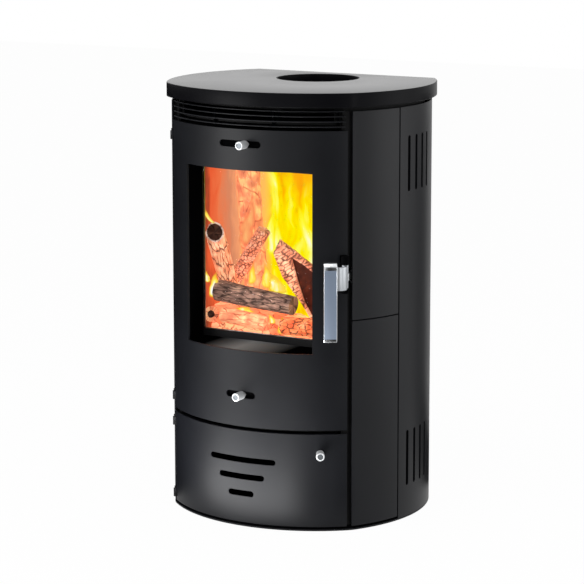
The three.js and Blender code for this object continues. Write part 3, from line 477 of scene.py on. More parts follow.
def fill_flat(loops, lines=(), holes=()):
    """Triangles between closed 2-D loops, kept on the given lines and out of the holes."""
    points, edges = [], []
    for loop in loops:
        first = len(points)
        points += [Vector(p) for p in loop]
        edges += [(first + k, first + (k + 1) % len(loop)) for k in range(len(loop))]
    for a, b in lines:
        edges.append((len(points), len(points) + 1))
        points += [Vector(a), Vector(b)]
    made, _, faces, _, _, _ = delaunay_2d_cdt(points, edges, [], 0, 1e-6)
    kept = []
    for face in faces:
        middle = sum((made[k] for k in face), Vector((0, 0))) / len(face)
        if not any(inside_loop(middle, hole) for hole in holes):
            kept.append(face)
    return made, kept


def bent_panel(name, span, edges, thickness, holes=(), side=1, inset=0):
    """A bent sheet between two places of the wall, with holes given as (place, z) loops."""
    bottom, top = edges
    places = stations(*span)
    rim = [(p, bottom) for p in places] + [(p, top) for p in reversed(places)]
    lines = [((p, bottom), (p, top)) for p in places[1:-1]]
    flat, faces = fill_flat([rim, *holes], lines, holes)
    points = []
    for depth in (inset, inset + thickness):
        for place, z in flat:
            spot = wall_point(place, -depth)
            points.append((side * spot.x, spot.y, z))
    count = len(flat)
    shell = [tuple(f) for f in faces] + [tuple(k + count for k in reversed(f)) for f in faces]
    uses = {}
    for face in faces:
        for k, a in enumerate(face):
            b = face[(k + 1) % len(face)]
            uses[frozenset((a, b))] = None if frozenset((a, b)) in uses else (a, b)
    for a, b in filter(None, uses.values()):
        shell.append((b, a, a + count, b + count))
    return mesh_object(name, points, shell)


def round_slot(length, height, z, at=0.0, radius=FRONT_RADIUS, upright=False):
    """Loop of a round-ended slot on a wall arc, as (place, z) points."""
    end = height / 2
    reach = length / 2 - end
    loop = []
    end_steps = 10
    for sign in (1, -1):
        for k in range(end_steps + 1):
            turn = -math.pi / 2 + math.pi * k / end_steps
            loop.append((sign * (reach + end * math.cos(turn)), sign * end * math.sin(turn)))
    if upright:
        loop = [(-b, a) for a, b in loop]
    return [(at + math.degrees(a / radius), z + b) for a, b in loop]


def rectangle(half, bottom, top, radius=FRONT_RADIUS):
    """Loop of an upright rectangular opening cut square through the front."""
    edge = math.degrees(math.asin(half / radius))
    return [(-edge, bottom), (edge, bottom), (edge, top), (-edge, top)]


def outline(offset, corner):
    """The whole D outline at an offset, always with the same count of points."""
    centre = bend_centre(SIDE_RADIUS + offset, BACK_Y + offset, corner)
    turn_in = heading_from(centre, SIDE_CENTRE)
    arcs = (
        # centre, radius, first heading, last heading, steps
        (CORNER_CENTRE, CORNER_RADIUS + offset, FRONT_HALF_ANGLE, CORNER_HEADING, 16),
        (SIDE_CENTRE, SIDE_RADIUS + offset, CORNER_HEADING, turn_in, 64),
        (centre, corner, turn_in, 180, 8),
    )
    right = [wall_point(k, offset) for k in range(0, int(FRONT_HALF_ANGLE) + 1)]
    right.append(CORNER_CENTRE + outward(FRONT_HALF_ANGLE) * (CORNER_RADIUS + offset))
    for middle, radius, start, end, steps in arcs:
        for k in range(1, steps + 1):
            right.append(middle + outward(start + (end - start) * k / steps) * radius)
    left = [Vector((-p.x, p.y)) for p in reversed(right[1:])]
    return right + left


def circle(x, y, radius, count=96):
    turns = [2 * math.pi * k / count for k in range(count)]
    return [Vector((x + radius * math.cos(t), y + radius * math.sin(t))) for t in turns]


def plate(name, rings, hole_rings=()):
    """A flat plate from outline rings (loop, z) bottom to top, with an optional hole."""
    points, faces = [], []

    def stack(loops):
        rows = []
        for loop, z in loops:
            rows.append(range(len(points), len(points) + len(loop)))
            points.extend((p.x, p.y, z) for p in loop)
        faces.extend(skin(rows))
        return rows

    outer_rows = stack(rings)
    hole_rows = stack(hole_rings)
    for level in (0, -1):
        loops, index, holes = [rings[level][0]], list(outer_rows[level]), []
        if hole_rings:
            holes = [hole_rings[level][0]]
            loops += holes
            index += hole_rows[level]
        flat, triangles = fill_flat(loops, holes=holes)
        if len(flat) != len(index):
            raise RuntimeError(name + ": the plate's face got extra points")
        faces.extend(tuple(index[k] for k in t) for t in triangles)
    return mesh_object(name, points, faces)


def rounded(edge, low, high, radius, steps=4):
    """(offset, z) pairs up a plate's side, its two edges rounded."""
    lower = [(edge - radius + radius * s, low + radius * (1 - c)) for s, c in quarter(steps)]
    upper = [(edge - radius + radius * c, high - radius + radius * s) for s, c in quarter(steps)]
    return lower + upper


def turned(profile, sides, spot_of):
    """Points and faces of a turned shape: profile is (radius, along) and spot_of places it."""
    points, rows = [], []
    for radius, along in profile:
        count = sides if radius else 1
        rows.append(range(len(points), len(points) + count))
        for k in range(count):
            points.append(spot_of(radius, along, 2 * math.pi * k / sides, k))
    return points, skin(rows)


def lathe(name, profile, heading, z):
    """A turned piece standing square out of the wall: profile is (radius, offset)."""
    foot, normal = wall_frame(heading)
    across = Vector((-normal.y, normal.x))

    def spot_of(radius, offset, turn, k):
        plan = foot + normal * offset + across * (radius * math.cos(turn))
        return plan.x, plan.y, z + radius * math.sin(turn)

    return mesh_object(name, *turned(profile, 64, spot_of))


def prism(name, loop, bottom, top):
    """An upright prism over a closed plan loop."""
    points = [(p.x, p.y, z) for z in (bottom, top) for p in loop]
    return mesh_object(name, points, skin(even_rows(2, len(loop)), True))


# ---------------------------------------------------------------- materials


def put(tree, kind, sockets=None, **settings):
    """Adds a node with its settings, its inputs as values, sockets or nodes.

    An input that is given a node takes the first output that the node has in use.
    """
    made = tree.nodes.new(kind)
    for key, value in settings.items():
        setattr(made, key, value)
    for key, value in (sockets or {}).items():
        socket = made.inputs[key]
        if isinstance(value, bpy.types.Node):
            value = next(output for output in value.outputs if output.enabled)
        if isinstance(value, bpy.types.NodeSocket):
            tree.links.new(value, socket)
        else:
            socket.default_value = value
    return made


def set_stops(ramp, stops):
    """Gives a colour ramp its stops, (place, hex colour) from left to right."""
    elements = ramp.color_ramp.elements
    while len(elements) < len(stops):
        elements.new(1.0)
    for element, (place, code) in zip(elements, stops):
        element.position = place
        element.color = colour(code)
    return ramp


def new_material(name):
    material = bpy.data.materials.new(name)
    material.use_nodes = True
    material.node_tree.nodes.clear()
    return material, material.node_tree


def close_material(material, surface):
    put(material.node_tree, "ShaderNodeOutputMaterial", {"Surface": surface})
    return material


def close_lit(material, sockets, relief=None):
    """Ends a material that light falls on: relief is a height, its strength and its mm."""
    tree = material.node_tree
    if relief:
        height, strength, depth = relief
        bumps = {"Height": height, "Strength": strength, "Distance": depth * MM}
        sockets = {**sockets, "Normal": put(tree, "ShaderNodeBump", bumps)}
    return close_material(material, put(tree, "ShaderNodeBsdfPrincipled", sockets))


def size_mm(value):
    """Texture scale that gives a pattern this many millimetres wide in metre coordinates."""
    return 1000.0 / value


def wander(tree, place, size, detail, reach, seed=None):
    """A place pushed about by noise of a size in mm, by up to reach in metres."""
    sockets = {"Vector": place, "Scale": size_mm(size), "Detail": detail}
    dimensions = "3D"
    if seed is not None:
        sockets["W"] = seed
        dimensions = "4D"
    swirl = put(tree, "ShaderNodeTexNoise", sockets, noise_dimensions=dimensions)
    sockets = {0: swirl.outputs["Color"], 1: reach}
    push = put(tree, "ShaderNodeVectorMath", sockets, operation="MULTIPLY")
    return put(tree, "ShaderNodeVectorMath", {0: place, 1: push}, operation="ADD")


def sprayed_steel(name, base, roughness, specular, grain_mm=1.4, grain_depth=0.02, cloudy=0.04):
    """Heat-resistant paint sprayed on sheet steel: an even satin black skin.

    The fine orange peel of the spray breaks the gloss a little, and broad clouds in
    the roughness keep large panels from looking like plastic. Real spray grain is
    about 0.3 mm, which is too fine to show, so it is drawn coarser.
    """
    material, tree = new_material(name)
    place = put(tree, "ShaderNodeTexCoord").outputs["Object"]
    peel = {"Vector": place, "Scale": size_mm(grain_mm), "Detail": 3.0}
    grain = put(tree, "ShaderNodeTexNoise", peel)
    cloud = put(tree, "ShaderNodeTexNoise", {"Vector": place, "Scale": size_mm(90), "Detail": 2.0})
    spread = {"Value": cloud, "To Min": roughness - cloudy, "To Max": roughness + cloudy}
    gloss = put(tree, "ShaderNodeMapRange", spread)
    tones = {"Factor": cloud, "A": colour(base[0]), "B": colour(base[1])}
    tint = put(tree, "ShaderNodeMix", tones, data_type="RGBA")
    surface = {"Base Color": tint, "Roughness": gloss, "Specular IOR Level": specular}
    return close_lit(material, surface, (grain, 0.25, grain_depth))


def wiped_sill(name):
    """The sill before the glass: painted shade, black at both ends, and a painted grey highlight between
    them.
    """
    material, tree = new_material(name)
    place = put(tree, "ShaderNodeTexCoord").outputs["Object"]
    spot = put(tree, "ShaderNodeSeparateXYZ", {"Vector": place})
    # Painted light by position across the sill: black ends for shade, grey in the middle for a
    # highlight.
    across = put(tree, "ShaderNodeMapRange", {"Value": spot, "From Min": -0.11, "From Max": 0.13})
    stops = [(0.06, "#020202"), (0.2, "#4c4c4c"), (0.38, "#808080"), (0.52, "#686868")]
    stops.append((0.8, "#020202"))
    soot_and_painted_light = set_stops(put(tree, "ShaderNodeValToRGB", {"Fac": across}), stops)
    return close_lit(material, {"Base Color": soot_and_painted_light, "Roughness": 0.8, "Specular IOR Level": 0.0})


def cast_surface(name, base, roughness=0.75):
    """Grey iron as it leaves the sand mould: dark, matt and pitted at about 2 mm."""
    material, tree = new_material(name)
    place = put(tree, "ShaderNodeTexCoord").outputs["Object"]
    pits = put(tree, "ShaderNodeTexNoise", {"Vector": place, "Scale": size_mm(2.2), "Detail": 5.0})
    tint = set_stops(put(tree, "ShaderNodeValToRGB", {"Fac": pits}), [(0.3, base[0]), (0.75, base[1])])
    return close_lit(material, {"Base Color": tint, "Roughness": roughness}, (pits, 0.5, 0.25))


def pressed_board(name):
    """Vermiculite board: flat flakes of about 4 mm, sooted in patches of about 70 mm."""
    material, tree = new_material(name)
    place = put(tree, "ShaderNodeTexCoord").outputs["Object"]
    flakes = put(tree, "ShaderNodeTexVoronoi", {"Vector": place, "Scale": size_mm(4)})
    soot_and_painted_light = put(tree, "ShaderNodeTexNoise", {"Vector": place, "Scale": size_mm(70), "Detail": 4.0})
    board = put(tree, "ShaderNodeValToRGB", {"Fac": flakes.outputs["Color"]})
    set_stops(board, [(0.2, "#6b5a48"), (0.8, "#8f7c64")])
    tones = {"Factor": soot_and_painted_light, "A": board, "B": colour("#2a211b")}
    dirty = put(tree, "ShaderNodeMix", tones, data_type="RGBA")
    return close_lit(material, {"Base Color": dirty, "Roughness": 0.92}, (flakes, 0.4, 0.4))


def ceramic_glass(name):
    """Clear coated glass ceramic: the fire seen straight through, with hardly a reflection."""
    pane = {"Base Color": colour("#fffcf8"), "Roughness": 0.02, "IOR": 1.02, "Transmission Weight": 1.0}
    return close_lit(new_material(name)[0], pane)


def glass_rope(name):
    """Knitted glass-fibre rope: pale grey, with a diagonal knit of about 3 mm."""
    material, tree = new_material(name)
    place = put(tree, "ShaderNodeTexCoord").outputs["Object"]
    waves = {"Vector": place, "Scale": size_mm(3) / 20, "Distortion": 2.0, "Detail": 2.0}
    knit = put(tree, "ShaderNodeTexWave", waves, bands_direction="DIAGONAL")
    tint = put(tree, "ShaderNodeValToRGB", {"Fac": knit.outputs["Fac"]})
    set_stops(tint, [(0.1, "#5d5a54"), (0.9, "#a19d94")])
    return close_lit(material, {"Base Color": tint, "Roughness": 0.95}, (knit.outputs["Fac"], 0.7, 0.8))


def polished_metal(name, base, roughness, brush_mm=(0.6, 0.6, 30.0), strength=0.12, metal=1.0):
    """Plated or ground metal: its fine grinding lines run along the longest brush size."""
    material, tree = new_material(name)
    place = put(tree, "ShaderNodeTexCoord").outputs["Object"]
    drawn = put(tree, "ShaderNodeMapping", {"Vector": place, "Scale": [size_mm(v) for v in brush_mm]})
    lines = put(tree, "ShaderNodeTexNoise", {"Vector": drawn, "Scale": 1.0, "Detail": 2.0})
    spread = {"Value": lines, "To Min": roughness - 0.06, "To Max": roughness + 0.06}
    gloss = put(tree, "ShaderNodeMapRange", spread)
    surface = {"Base Color": colour(base), "Metallic": metal, "Roughness": gloss}
    return close_lit(material, surface, (lines, strength, 0.05))


def zinc_plate(name):
    """Zinc-plated sheet: grey metal with faint crystal patches of about 9 mm."""
    material, tree = new_material(name)
    place = put(tree, "ShaderNodeTexCoord").outputs["Object"]
    patches = put(tree, "ShaderNodeTexVoronoi", {"Vector": place, "Scale": size_mm(9)})
    tint = put(tree, "ShaderNodeValToRGB", {"Fac": patches.outputs["Color"]})
    set_stops(tint, [(0.0, "#8d9092"), (1.0, "#a9abad")])
    return close_lit(material, {"Base Color": tint, "Metallic": 1.0, "Roughness": 0.42})


def burning_wood(name, tones, crack, glow, crack_mm=9.0, along_mm=26.0, gap=0.12):
    """Wood in the fire: plates of burnt surface between dark cracks, lit from within.

    The pattern follows the log through its own UV map, in metres along and around.
    tones are three colours of the surface, crack is the colour deep between the plates
    and glow is how much of the surface's colour it gives off itself.
    """
    material, tree = new_material(name)
    place = put(tree, "ShaderNodeUVMap", uv_map="grain").outputs["UV"]
    moved = wander(tree, place, 16, 4.0, (0.012, 0.012, 0.0))
    sizes = (size_mm(along_mm), size_mm(crack_mm), 1.0)
    plates = put(
        tree,
        "ShaderNodeTexVoronoi",
        {
            "Vector": put(tree, "ShaderNodeMapping", {"Vector": moved, "Scale": sizes}),
            "Scale": 1.0,
            "Randomness": 1.0,
        },
        feature="DISTANCE_TO_EDGE",
        voronoi_dimensions="2D",
    )
    uneven = put(tree, "ShaderNodeTexNoise", {"Vector": place, "Scale": size_mm(19), "Detail": 2.0})
    widths = {"Value": uneven, "From Min": 0.38, "From Max": 0.62, "To Min": gap * 0.25, "To Max": gap}
    opening = put(tree, "ShaderNodeMapRange", widths)
    depth = put(tree, "ShaderNodeMapRange", {"Value": plates, "From Max": opening})
    blotch = put(tree, "ShaderNodeTexNoise", {"Vector": place, "Scale": size_mm(24), "Detail": 6.0})
    surface = put(tree, "ShaderNodeValToRGB", {"Fac": blotch})
    set_stops(surface, list(zip((0.36, 0.5, 0.64), tones)))
    sizes = (size_mm(30), size_mm(2.4), 1.0)
    drawn = put(tree, "ShaderNodeMapping", {"Vector": moved, "Scale": sizes})
    fibre = put(tree, "ShaderNodeTexNoise", {"Vector": drawn, "Scale": 1.0, "Detail": 3.0})
    levels = {"Value": fibre, "From Min": 0.3, "From Max": 0.62, "To Min": 0.8, "To Max": 1.06}
    shaded = put(tree, "ShaderNodeMapRange", levels)
    lined = put(tree, "ShaderNodeVectorMath", {0: surface, "Scale": shaded}, operation="SCALE")
    depths = {"Factor": depth, "A": colour(crack), "B": lined}
    tint = put(tree, "ShaderNodeMix", depths, data_type="RGBA")
    skin_look = {
        "Base Color": tint,
        "Roughness": 0.9,
        "Emission Color": tint,
        "Emission Strength": glow,
    }
    return close_lit(material, skin_look, (depth, 0.8, 1.5))


def live_embers(name):
    """Embers: glowing lumps of about 17 mm, each its own heat, with dark red between."""
    material, tree = new_material(name)
    place = put(tree, "ShaderNodeTexCoord").outputs["Object"]
    moved = wander(tree, place, 12, 3.0, (0.012, 0.012, 0.012))
    sizes = (size_mm(44), size_mm(24), size_mm(17))
    squashed = put(tree, "ShaderNodeMapping", {"Vector": moved, "Scale": sizes})
    cell_place = {"Vector": squashed, "Scale": 1.0}
    lumps = put(tree, "ShaderNodeTexVoronoi", cell_place, feature="DISTANCE_TO_EDGE")
    cells = put(tree, "ShaderNodeTexVoronoi", cell_place)
    heat = put(tree, "ShaderNodeTexNoise", {"Vector": place, "Scale": size_mm(30), "Detail": 5.0})
    own = put(tree, "ShaderNodeSeparateColor", {"Color": cells.outputs["Color"]})
    warmth = put(tree, "ShaderNodeMix", {"Factor": 0.45, "A": heat, "B": own}, data_type="FLOAT")
    stops = [(0.2, "#d06a4c"), (0.36, "#ec8058"), (0.5, "#f89c74"), (0.64, "#ffb68a"), (0.8, "#ffce90")]
    hot = set_stops(put(tree, "ShaderNodeValToRGB", {"Fac": warmth}), stops)
    gap = put(tree, "ShaderNodeMapRange", {"Value": lumps, "From Max": 0.035})
    depths = {"Factor": gap, "A": colour("#8a3420"), "B": hot}
    tint = put(tree, "ShaderNodeMix", depths, data_type="RGBA")
    ember_look = {
        "Base Color": tint,
        "Roughness": 0.95,
        "Emission Color": tint,
        "Emission Strength": 0.85,
    }
    return close_lit(material, ember_look, (lumps, 0.8, 3))


def flame_colours(tree, place, stops, streak_mm, seed):
    """Streaked flame colour over the place vector, in metres across and up, and its noise."""
    moved = wander(tree, place, 85, 2.0, (0.07, 0.05, 0.03), seed)
    across, up = streak_mm
    sizes = (size_mm(across), size_mm(across), size_mm(up))
    drawn = put(tree, "ShaderNodeMapping", {"Vector": moved, "Scale": sizes})
    sockets = {"Vector": drawn, "Scale": 1.0, "Detail": 3.0, "W": seed}
    streaks = put(tree, "ShaderNodeTexNoise", sockets, noise_dimensions="4D")
    return set_stops(put(tree, "ShaderNodeValToRGB", {"Fac": streaks}), stops), streaks


def flame_wall(name, strength):
    """The body of the fire: dull red to salmon on the left wall, yellow streaks behind."""
    material, tree = new_material(name)
    place = put(tree, "ShaderNodeTexCoord").outputs["Object"]
    spot = put(tree, "ShaderNodeSeparateXYZ", {"Vector": place}).outputs

    def share(axis, start, end):
        """0 to 1 between two places along an axis."""
        span = {"Value": spot[axis], "From Min": start, "From Max": end}
        return put(tree, "ShaderNodeMapRange", span)

    yellow_stops = [
        (0.3, "#ff9e00"), (0.42, "#ffd600"), (0.54, "#fff000"), (0.66, "#ffff60"), (0.78, "#fffff0"),
    ]
    yellow, streaks = flame_colours(tree, place, yellow_stops, (26, 150), 4.0)
    back = {0: streaks, 1: 0.42, 2: share("Y", -0.062, 0.16)}
    swayed = put(tree, "ShaderNodeMath", back, operation="MULTIPLY_ADD")
    red_stops = [
        (0.2, "#7a3626"), (0.33, "#ea5f36"), (0.45, "#ee7a4c"),
        (0.62, "#d88a66"), (0.78, "#f4a070"), (1.0, "#ffc060"),
    ]
    red = set_stops(put(tree, "ShaderNodeValToRGB", {"Fac": swayed}), red_stops)
    off_side = share("X", -0.15, -0.132)
    high_right = {0: share("Z", 0.57, 0.65), 1: share("X", -0.11, -0.07)}
    corner = put(tree, "ShaderNodeMath", high_right, operation="MULTIPLY")
    amount = put(tree, "ShaderNodeMath", {0: corner, 1: 0.85}, operation="MULTIPLY")
    tones = {"Factor": amount, "A": yellow, "B": colour("#ff9a14")}
    cooled = put(tree, "ShaderNodeMix", tones, data_type="RGBA")
    body = put(tree, "ShaderNodeMix", {"Factor": off_side, "A": red, "B": cooled}, data_type="RGBA")
    glow = put(tree, "ShaderNodeEmission", {"Color": body, "Strength": strength})
    return close_material(material, glow)


def flame_tongue(name, stops, strength, seed):
    """One lick of flame: opaque and pale at its heart, thinning to nothing at the rim.

    The rim is in the piece's own attribute, so the flame keeps its edge from any side.
    """
    material, tree = new_material(name)
    place = put(tree, "ShaderNodeTexCoord").outputs["Object"]
    heart = put(tree, "ShaderNodeAttribute", attribute_name="heart").outputs["Fac"]
    streaks = flame_colours(tree, place, stops, (14, 60), seed)[1]
    heat = put(tree, "ShaderNodeMath", {0: heart, 1: streaks, 2: 0.0}, operation="MULTIPLY_ADD")
    tint = set_stops(put(tree, "ShaderNodeValToRGB", {"Fac": heat}), stops)
    rise = {"Value": heat, "From Min": 0.0, "From Max": 0.42}
    fade = put(tree, "ShaderNodeMapRange", rise, interpolation_type="SMOOTHSTEP")
    glow = put(tree, "ShaderNodeEmission", {"Color": tint, "Strength": strength})
    clear = put(tree, "ShaderNodeBsdfTransparent")
    return close_material(material, put(tree, "ShaderNodeMixShader", {0: fade, 1: clear, 2: glow}))


finishes = {}


def make_finishes(looks):
    codes = [to_hex(looks.paint_dark), to_hex(looks.paint_light)]
    # Near-black that is darker than the paint: painted shade for recessed and hidden parts and for the
    # window's reveal.
    painted_shade_black = ("#020203", "#040405")
    turned_mm = (0.7, 0.7, 0.7)
    finishes.update(
        paint=sprayed_steel("satin_stove_paint", codes, looks.paint_roughness, looks.paint_specular),
        plate=sprayed_steel(
            "satin_stove_paint_top_plate", codes, looks.plate_roughness, 0.5, 1.4, 0.003, 0.008
        ),
        # The plate's rim: the same paint made darker and less glossy, as painted shade on its edge.
        rim=sprayed_steel("satin_stove_paint_rim", ("#08080a", "#0a0a0d"), 0.36, 0.045),
        dark=sprayed_steel("matt_black_sheet_steel", ("#060607", "#0a0a0b"), 0.6, 0.15),
        black=sprayed_steel("sooted_black_steel", painted_shade_black, 0.9, 0.03),
        reveal=sprayed_steel("matt_black_reveal", painted_shade_black, 0.9, 0.0),
        sill=wiped_sill("wiped_sill"),
        iron=cast_surface("grey_cast_iron", ("#131314", "#1e1e20")),
        board=pressed_board("vermiculite_board"),
        glass=ceramic_glass("clear_glass_ceramic"),
        rope=glass_rope("knitted_glass_rope"),
        chrome=polished_metal("satin_chrome_plate", "#e2e5e8", 0.2),
        grip_face=polished_metal("ground_steel_grip_face", "#717d8e", 0.42, strength=0.3, metal=0.3),
        arm=polished_metal("satin_chrome_arm", "#a6a9ad", 0.36, metal=0.6),
        knob=polished_metal("turned_stainless_steel", "#d2d4d6", 0.42, turned_mm, metal=0.6),
        knob_end=polished_metal("turned_stainless_end", "#74787c", 0.45, turned_mm),
        zinc=zinc_plate("zinc_plated_sheet"),
    )


# ---------------------------------------------------------------- settings


class StoveLooks(bpy.types.PropertyGroup):
    """Colours and gloss of the painted steel."""

    paint_dark: FloatVectorProperty(
        name="Paint, dark",
        description="Darker tone of the satin stove paint",
        subtype="COLOR",
        default=linear("#0b0c0f"),
    )
    paint_light: FloatVectorProperty(
        name="Paint, light",
        description="Lighter tone of the satin stove paint",
        subtype="COLOR",
        default=linear("#0f1014"),
    )
    paint_roughness: FloatProperty(
        name="Paint roughness",
        description="Roughness of the painted casing",
        default=0.42,
        min=0.05,
        max=1.0,
        subtype="FACTOR",
    )
    paint_specular: FloatProperty(
        name="Paint specular",
        description="Specular level of the painted casing",
        default=0.17,
        min=0.0,
        max=1.0,
        subtype="FACTOR",
    )
    plate_roughness: FloatProperty(
        name="Top plate roughness",
        description="Roughness of the smoother top plate",
        default=0.24,
        min=0.05,
        max=1.0,
        subtype="FACTOR",
    )


class StoveSizes(bpy.types.PropertyGroup):
    """Small sizes of the finished edges."""

    sheet_edge: FloatProperty(
        name="Sheet edge",
        description="Radius that the sheets' edges are eased to, in millimetres",
        default=0.5,
        min=0.1,
        max=1.2,
    )
    plate_edge: FloatProperty(
        name="Plate edge",
        description="Radius of the top plate's edges, in millimetres",
        default=1.4,
        min=0.5,
        max=4.0,
    )
    screw_radius: FloatProperty(
        name="Screw head",
        description="Radius of the back panel's screw heads, in millimetres",
        default=3.6,
        min=1.0,
        max=8.0,
    )
    slat_count: IntProperty(
        name="Grille slats",
        description="Number of slats in the air grille",
        default=SLAT_COUNT,
        min=1,
        max=8,
    )


class StoveFire(bpy.types.PropertyGroup):
    """How brightly the fire burns."""

    flame_strength: FloatProperty(
        name="Flame strength",
        description="Emission of the flames, where 1 shows their colours as written",
        default=1.0,
        min=0.0,
        max=10.0,
    )
    wood_glow: FloatProperty(
        name="Wood glow",
        description="Share of their own colour that the burning logs give off",
        default=0.75,
        min=0.0,
        max=3.0,
    )


class StoveStage(bpy.types.PropertyGroup):
    """Camera and lamps."""

    camera_azimuth: FloatProperty(
        name="Camera azimuth",
        description="How far the camera stands round to the stove's right",
        default=math.radians(29.697),
        subtype="ANGLE",
    )
    camera_pitch: FloatProperty(
        name="Camera pitch",
        description="How far the camera looks down",
        default=math.radians(9.479),
        subtype="ANGLE",
    )
    camera_distance: FloatProperty(
        name="Camera distance",
        description="Level distance from the plan's origin",
        default=4.632,
        unit="LENGTH",
    )
    camera_height: FloatProperty(
        name="Camera height",
        description="Height above the floor",
        default=1.2824,
        unit="LENGTH",
    )
    camera_lens: FloatProperty(
        name="Focal length",
        description="Lens on a 36 mm wide sensor, in millimetres",
        default=FOCAL_PIXELS * SENSOR_MM / PICTURE_PIXELS,
    )
    world_level: FloatProperty(
        name="World level",
        description="Soft light from all round",
        default=0.5,
        min=0.0,
    )


# ---------------------------------------------------------------- casing


def make_base():
    profile = rounded(0, 0, heights("base_plate")[1], 0.6, 3)
    rings = [(outline(offset, BEND_RADIUS + offset), z) for offset, z in profile]
    made = shade(plate("base_plate_sheet", rings))
    finish_piece(made, "case", finishes["paint"], ["base_plate"])


def make_side_panels(sizes):
    for side, word in ((1, "right"), (-1, "left")):
        for level in ("lower", "upper"):
            node = f"side_panel_{level}_{word}"
            made = bent_panel(node + "_sheet", SIDE_SPAN, heights(node), CASING_SHEET, side=side)
            finish_sheet(made, sizes, "case", node)


def make_rear_shells(sizes):
    slots = []
    for bottom, top in LOUVRE_SPANS:
        middle = (bottom + top) / 2
        for heading in LOUVRE_HEADINGS:
            slots.append(round_slot(top - bottom, LOUVRE_WIDTH, middle, heading, SIDE_RADIUS, True))
    span = (REAR_START, 180 + BEND_CENTRE.x - REAR_END_X)
    for side, word in ((1, "right"), (-1, "left")):
        node = "rear_shell_" + word
        made = bent_panel(node + "_sheet", span, heights(node), CASING_SHEET, slots, side)
        finish_sheet(made, sizes, "case", node)


# ---------------------------------------------------------------- top


def make_top_plate(sizes):
    profile = rounded(PLATE_OVERHANG, *heights("top_plate"), sizes.plate_edge)
    rings = [(outline(offset, PLATE_CORNER + offset - PLATE_OVERHANG), z) for offset, z in profile]
    hole_edge = PLATE_HOLE_RADIUS + PLATE_OVERHANG
    hole = [(circle(0, FLUE_Y, hole_edge - offset), z) for offset, z in profile]
    made = shade(plate("top_plate_slab", rings, hole))
    # The edge takes the rim paint with its painted shade, and the top face takes the glossier plate
    # paint.
    finish_piece(made, "case", finishes["rim"], ["top_plate"])
    second_finish(made, "plate", lambda face: face.normal.z > 0.99)


def open_tree(name, sizes, count_name, count):
    """A Geometry Nodes tree with its sizes, a count and a material as named inputs."""
    tree = bpy.data.node_groups.new(name, "GeometryNodeTree")
    tree.interface.new_socket("Geometry", in_out="OUTPUT", socket_type="NodeSocketGeometry")
    inputs = [(key, "Float", value) for key, value in sizes.items()]
    for key, kind, value in (*inputs, (count_name, "Int", count)):
        socket = tree.interface.new_socket(key, in_out="INPUT", socket_type="NodeSocket" + kind)
        socket.default_value = value
    tree.interface.new_socket("Material", in_out="INPUT", socket_type="NodeSocketMaterial")
    return tree, put(tree, "NodeGroupInput").outputs


def close_tree(tree, points, instance, material):
    """Ends a tree: the instance on every point, made real and given its material."""
    copies = put(tree, "GeometryNodeInstanceOnPoints", {"Points": points, "Instance": instance})
    real = put(tree, "GeometryNodeRealizeInstances", {"Geometry": copies})
    painted = put(tree, "GeometryNodeSetMaterial", {"Geometry": real, "Material": material})
    put(tree, "NodeGroupOutput", {"Geometry": painted})
    return tree


def slat_tree():
    """Geometry Nodes: a slat section swept round an arc, repeated downwards."""
    sizes = {
        "Radius": 0.28,
        "Half Angle": math.radians(SLAT_HALF_ANGLE),
        "Depth": SLAT_DEPTH * MM,
        "Thickness": SLAT_THICKNESS * MM,
        "Pitch": SLAT_PITCH * MM,
    }
    tree, given = open_tree("air_grille_slats", sizes, "Count", SLAT_COUNT)
    half = given["Half Angle"]
    sweep = {
        "Resolution": 97,
        "Radius": given["Radius"],
        "Start Angle": put(tree, "ShaderNodeMath", {0: -math.pi / 2, 1: half}, operation="SUBTRACT"),
        "Sweep Angle": put(tree, "ShaderNodeMath", {0: half, 1: 2.0}, operation="MULTIPLY"),
    }
    arc = put(tree, "GeometryNodeCurveArc", sweep)
    size = {"Width": given["Depth"], "Height": given["Thickness"]}
    section = put(tree, "GeometryNodeCurvePrimitiveQuadrilateral", size)
    rounding = {"Curve": section, "Radius": 0.0006, "Count": 3}
    soft = put(tree, "GeometryNodeFilletCurve", rounding, mode="POLY")
    solid = {"Curve": arc, "Profile Curve": soft, "Fill Caps": True}
    slat = put(tree, "GeometryNodeCurveToMesh", solid)
    drop = put(tree, "ShaderNodeMath", {0: given["Pitch"], 1: -1.0}, operation="MULTIPLY")
    step = put(tree, "ShaderNodeCombineXYZ", {"Z": drop})
    row = put(tree, "GeometryNodeMeshLine", {"Count": given["Count"], "Offset": step})
    return close_tree(tree, row, slat, given["Material"])


def grow(name, tree, values, place):
    """A plain mesh object from a Geometry Nodes tree and its named inputs."""
    made = link_object(name, bpy.data.meshes.new(name))
    modifier = made.modifiers.new("grow", "NODES")
    modifier.node_group = tree
    for item in tree.interface.items_tree:
        if item.item_type == "SOCKET" and item.in_out == "INPUT" and item.name in values:
            modifier[item.identifier] = values[item.name]
    apply_modifiers(made)
    made.data.transform(Matrix.Translation(place))
    return made


def make_grille(sizes):
    offset = -SLAT_SETBACK - SLAT_DEPTH / 2
    values = {
        "Radius": (FRONT_RADIUS + offset) * MM,
        "Count": sizes.slat_count,
        "Material": finishes["paint"],
    }
    place = to_frame(FRONT_CENTRE.x, FRONT_CENTRE.y, SLAT_TOPS - SLAT_THICKNESS / 2)
    slats = shade(grow("air_grille_slats", slat_tree(), values, place))
    finish_piece(slats, "case", None, ["air_grille"])
    bottom = SLAT_TOPS - (SLAT_COUNT - 1) * SLAT_PITCH - SLAT_THICKNESS
    for number, heading in enumerate(UPRIGHT_HEADINGS):
        half = UPRIGHT_HALF_ANGLE
        loop = wall_box(heading - half, heading + half, *UPRIGHT_OFFSETS)
        upright = prism(f"air_grille_upright_{number}", loop, bottom, SLAT_TOPS)
        # The uprights take the near-black of painted shade, so that they stay dark behind the slats.
        finish_piece(upright, "case", finishes["black"])


# ---------------------------------------------------------------- back


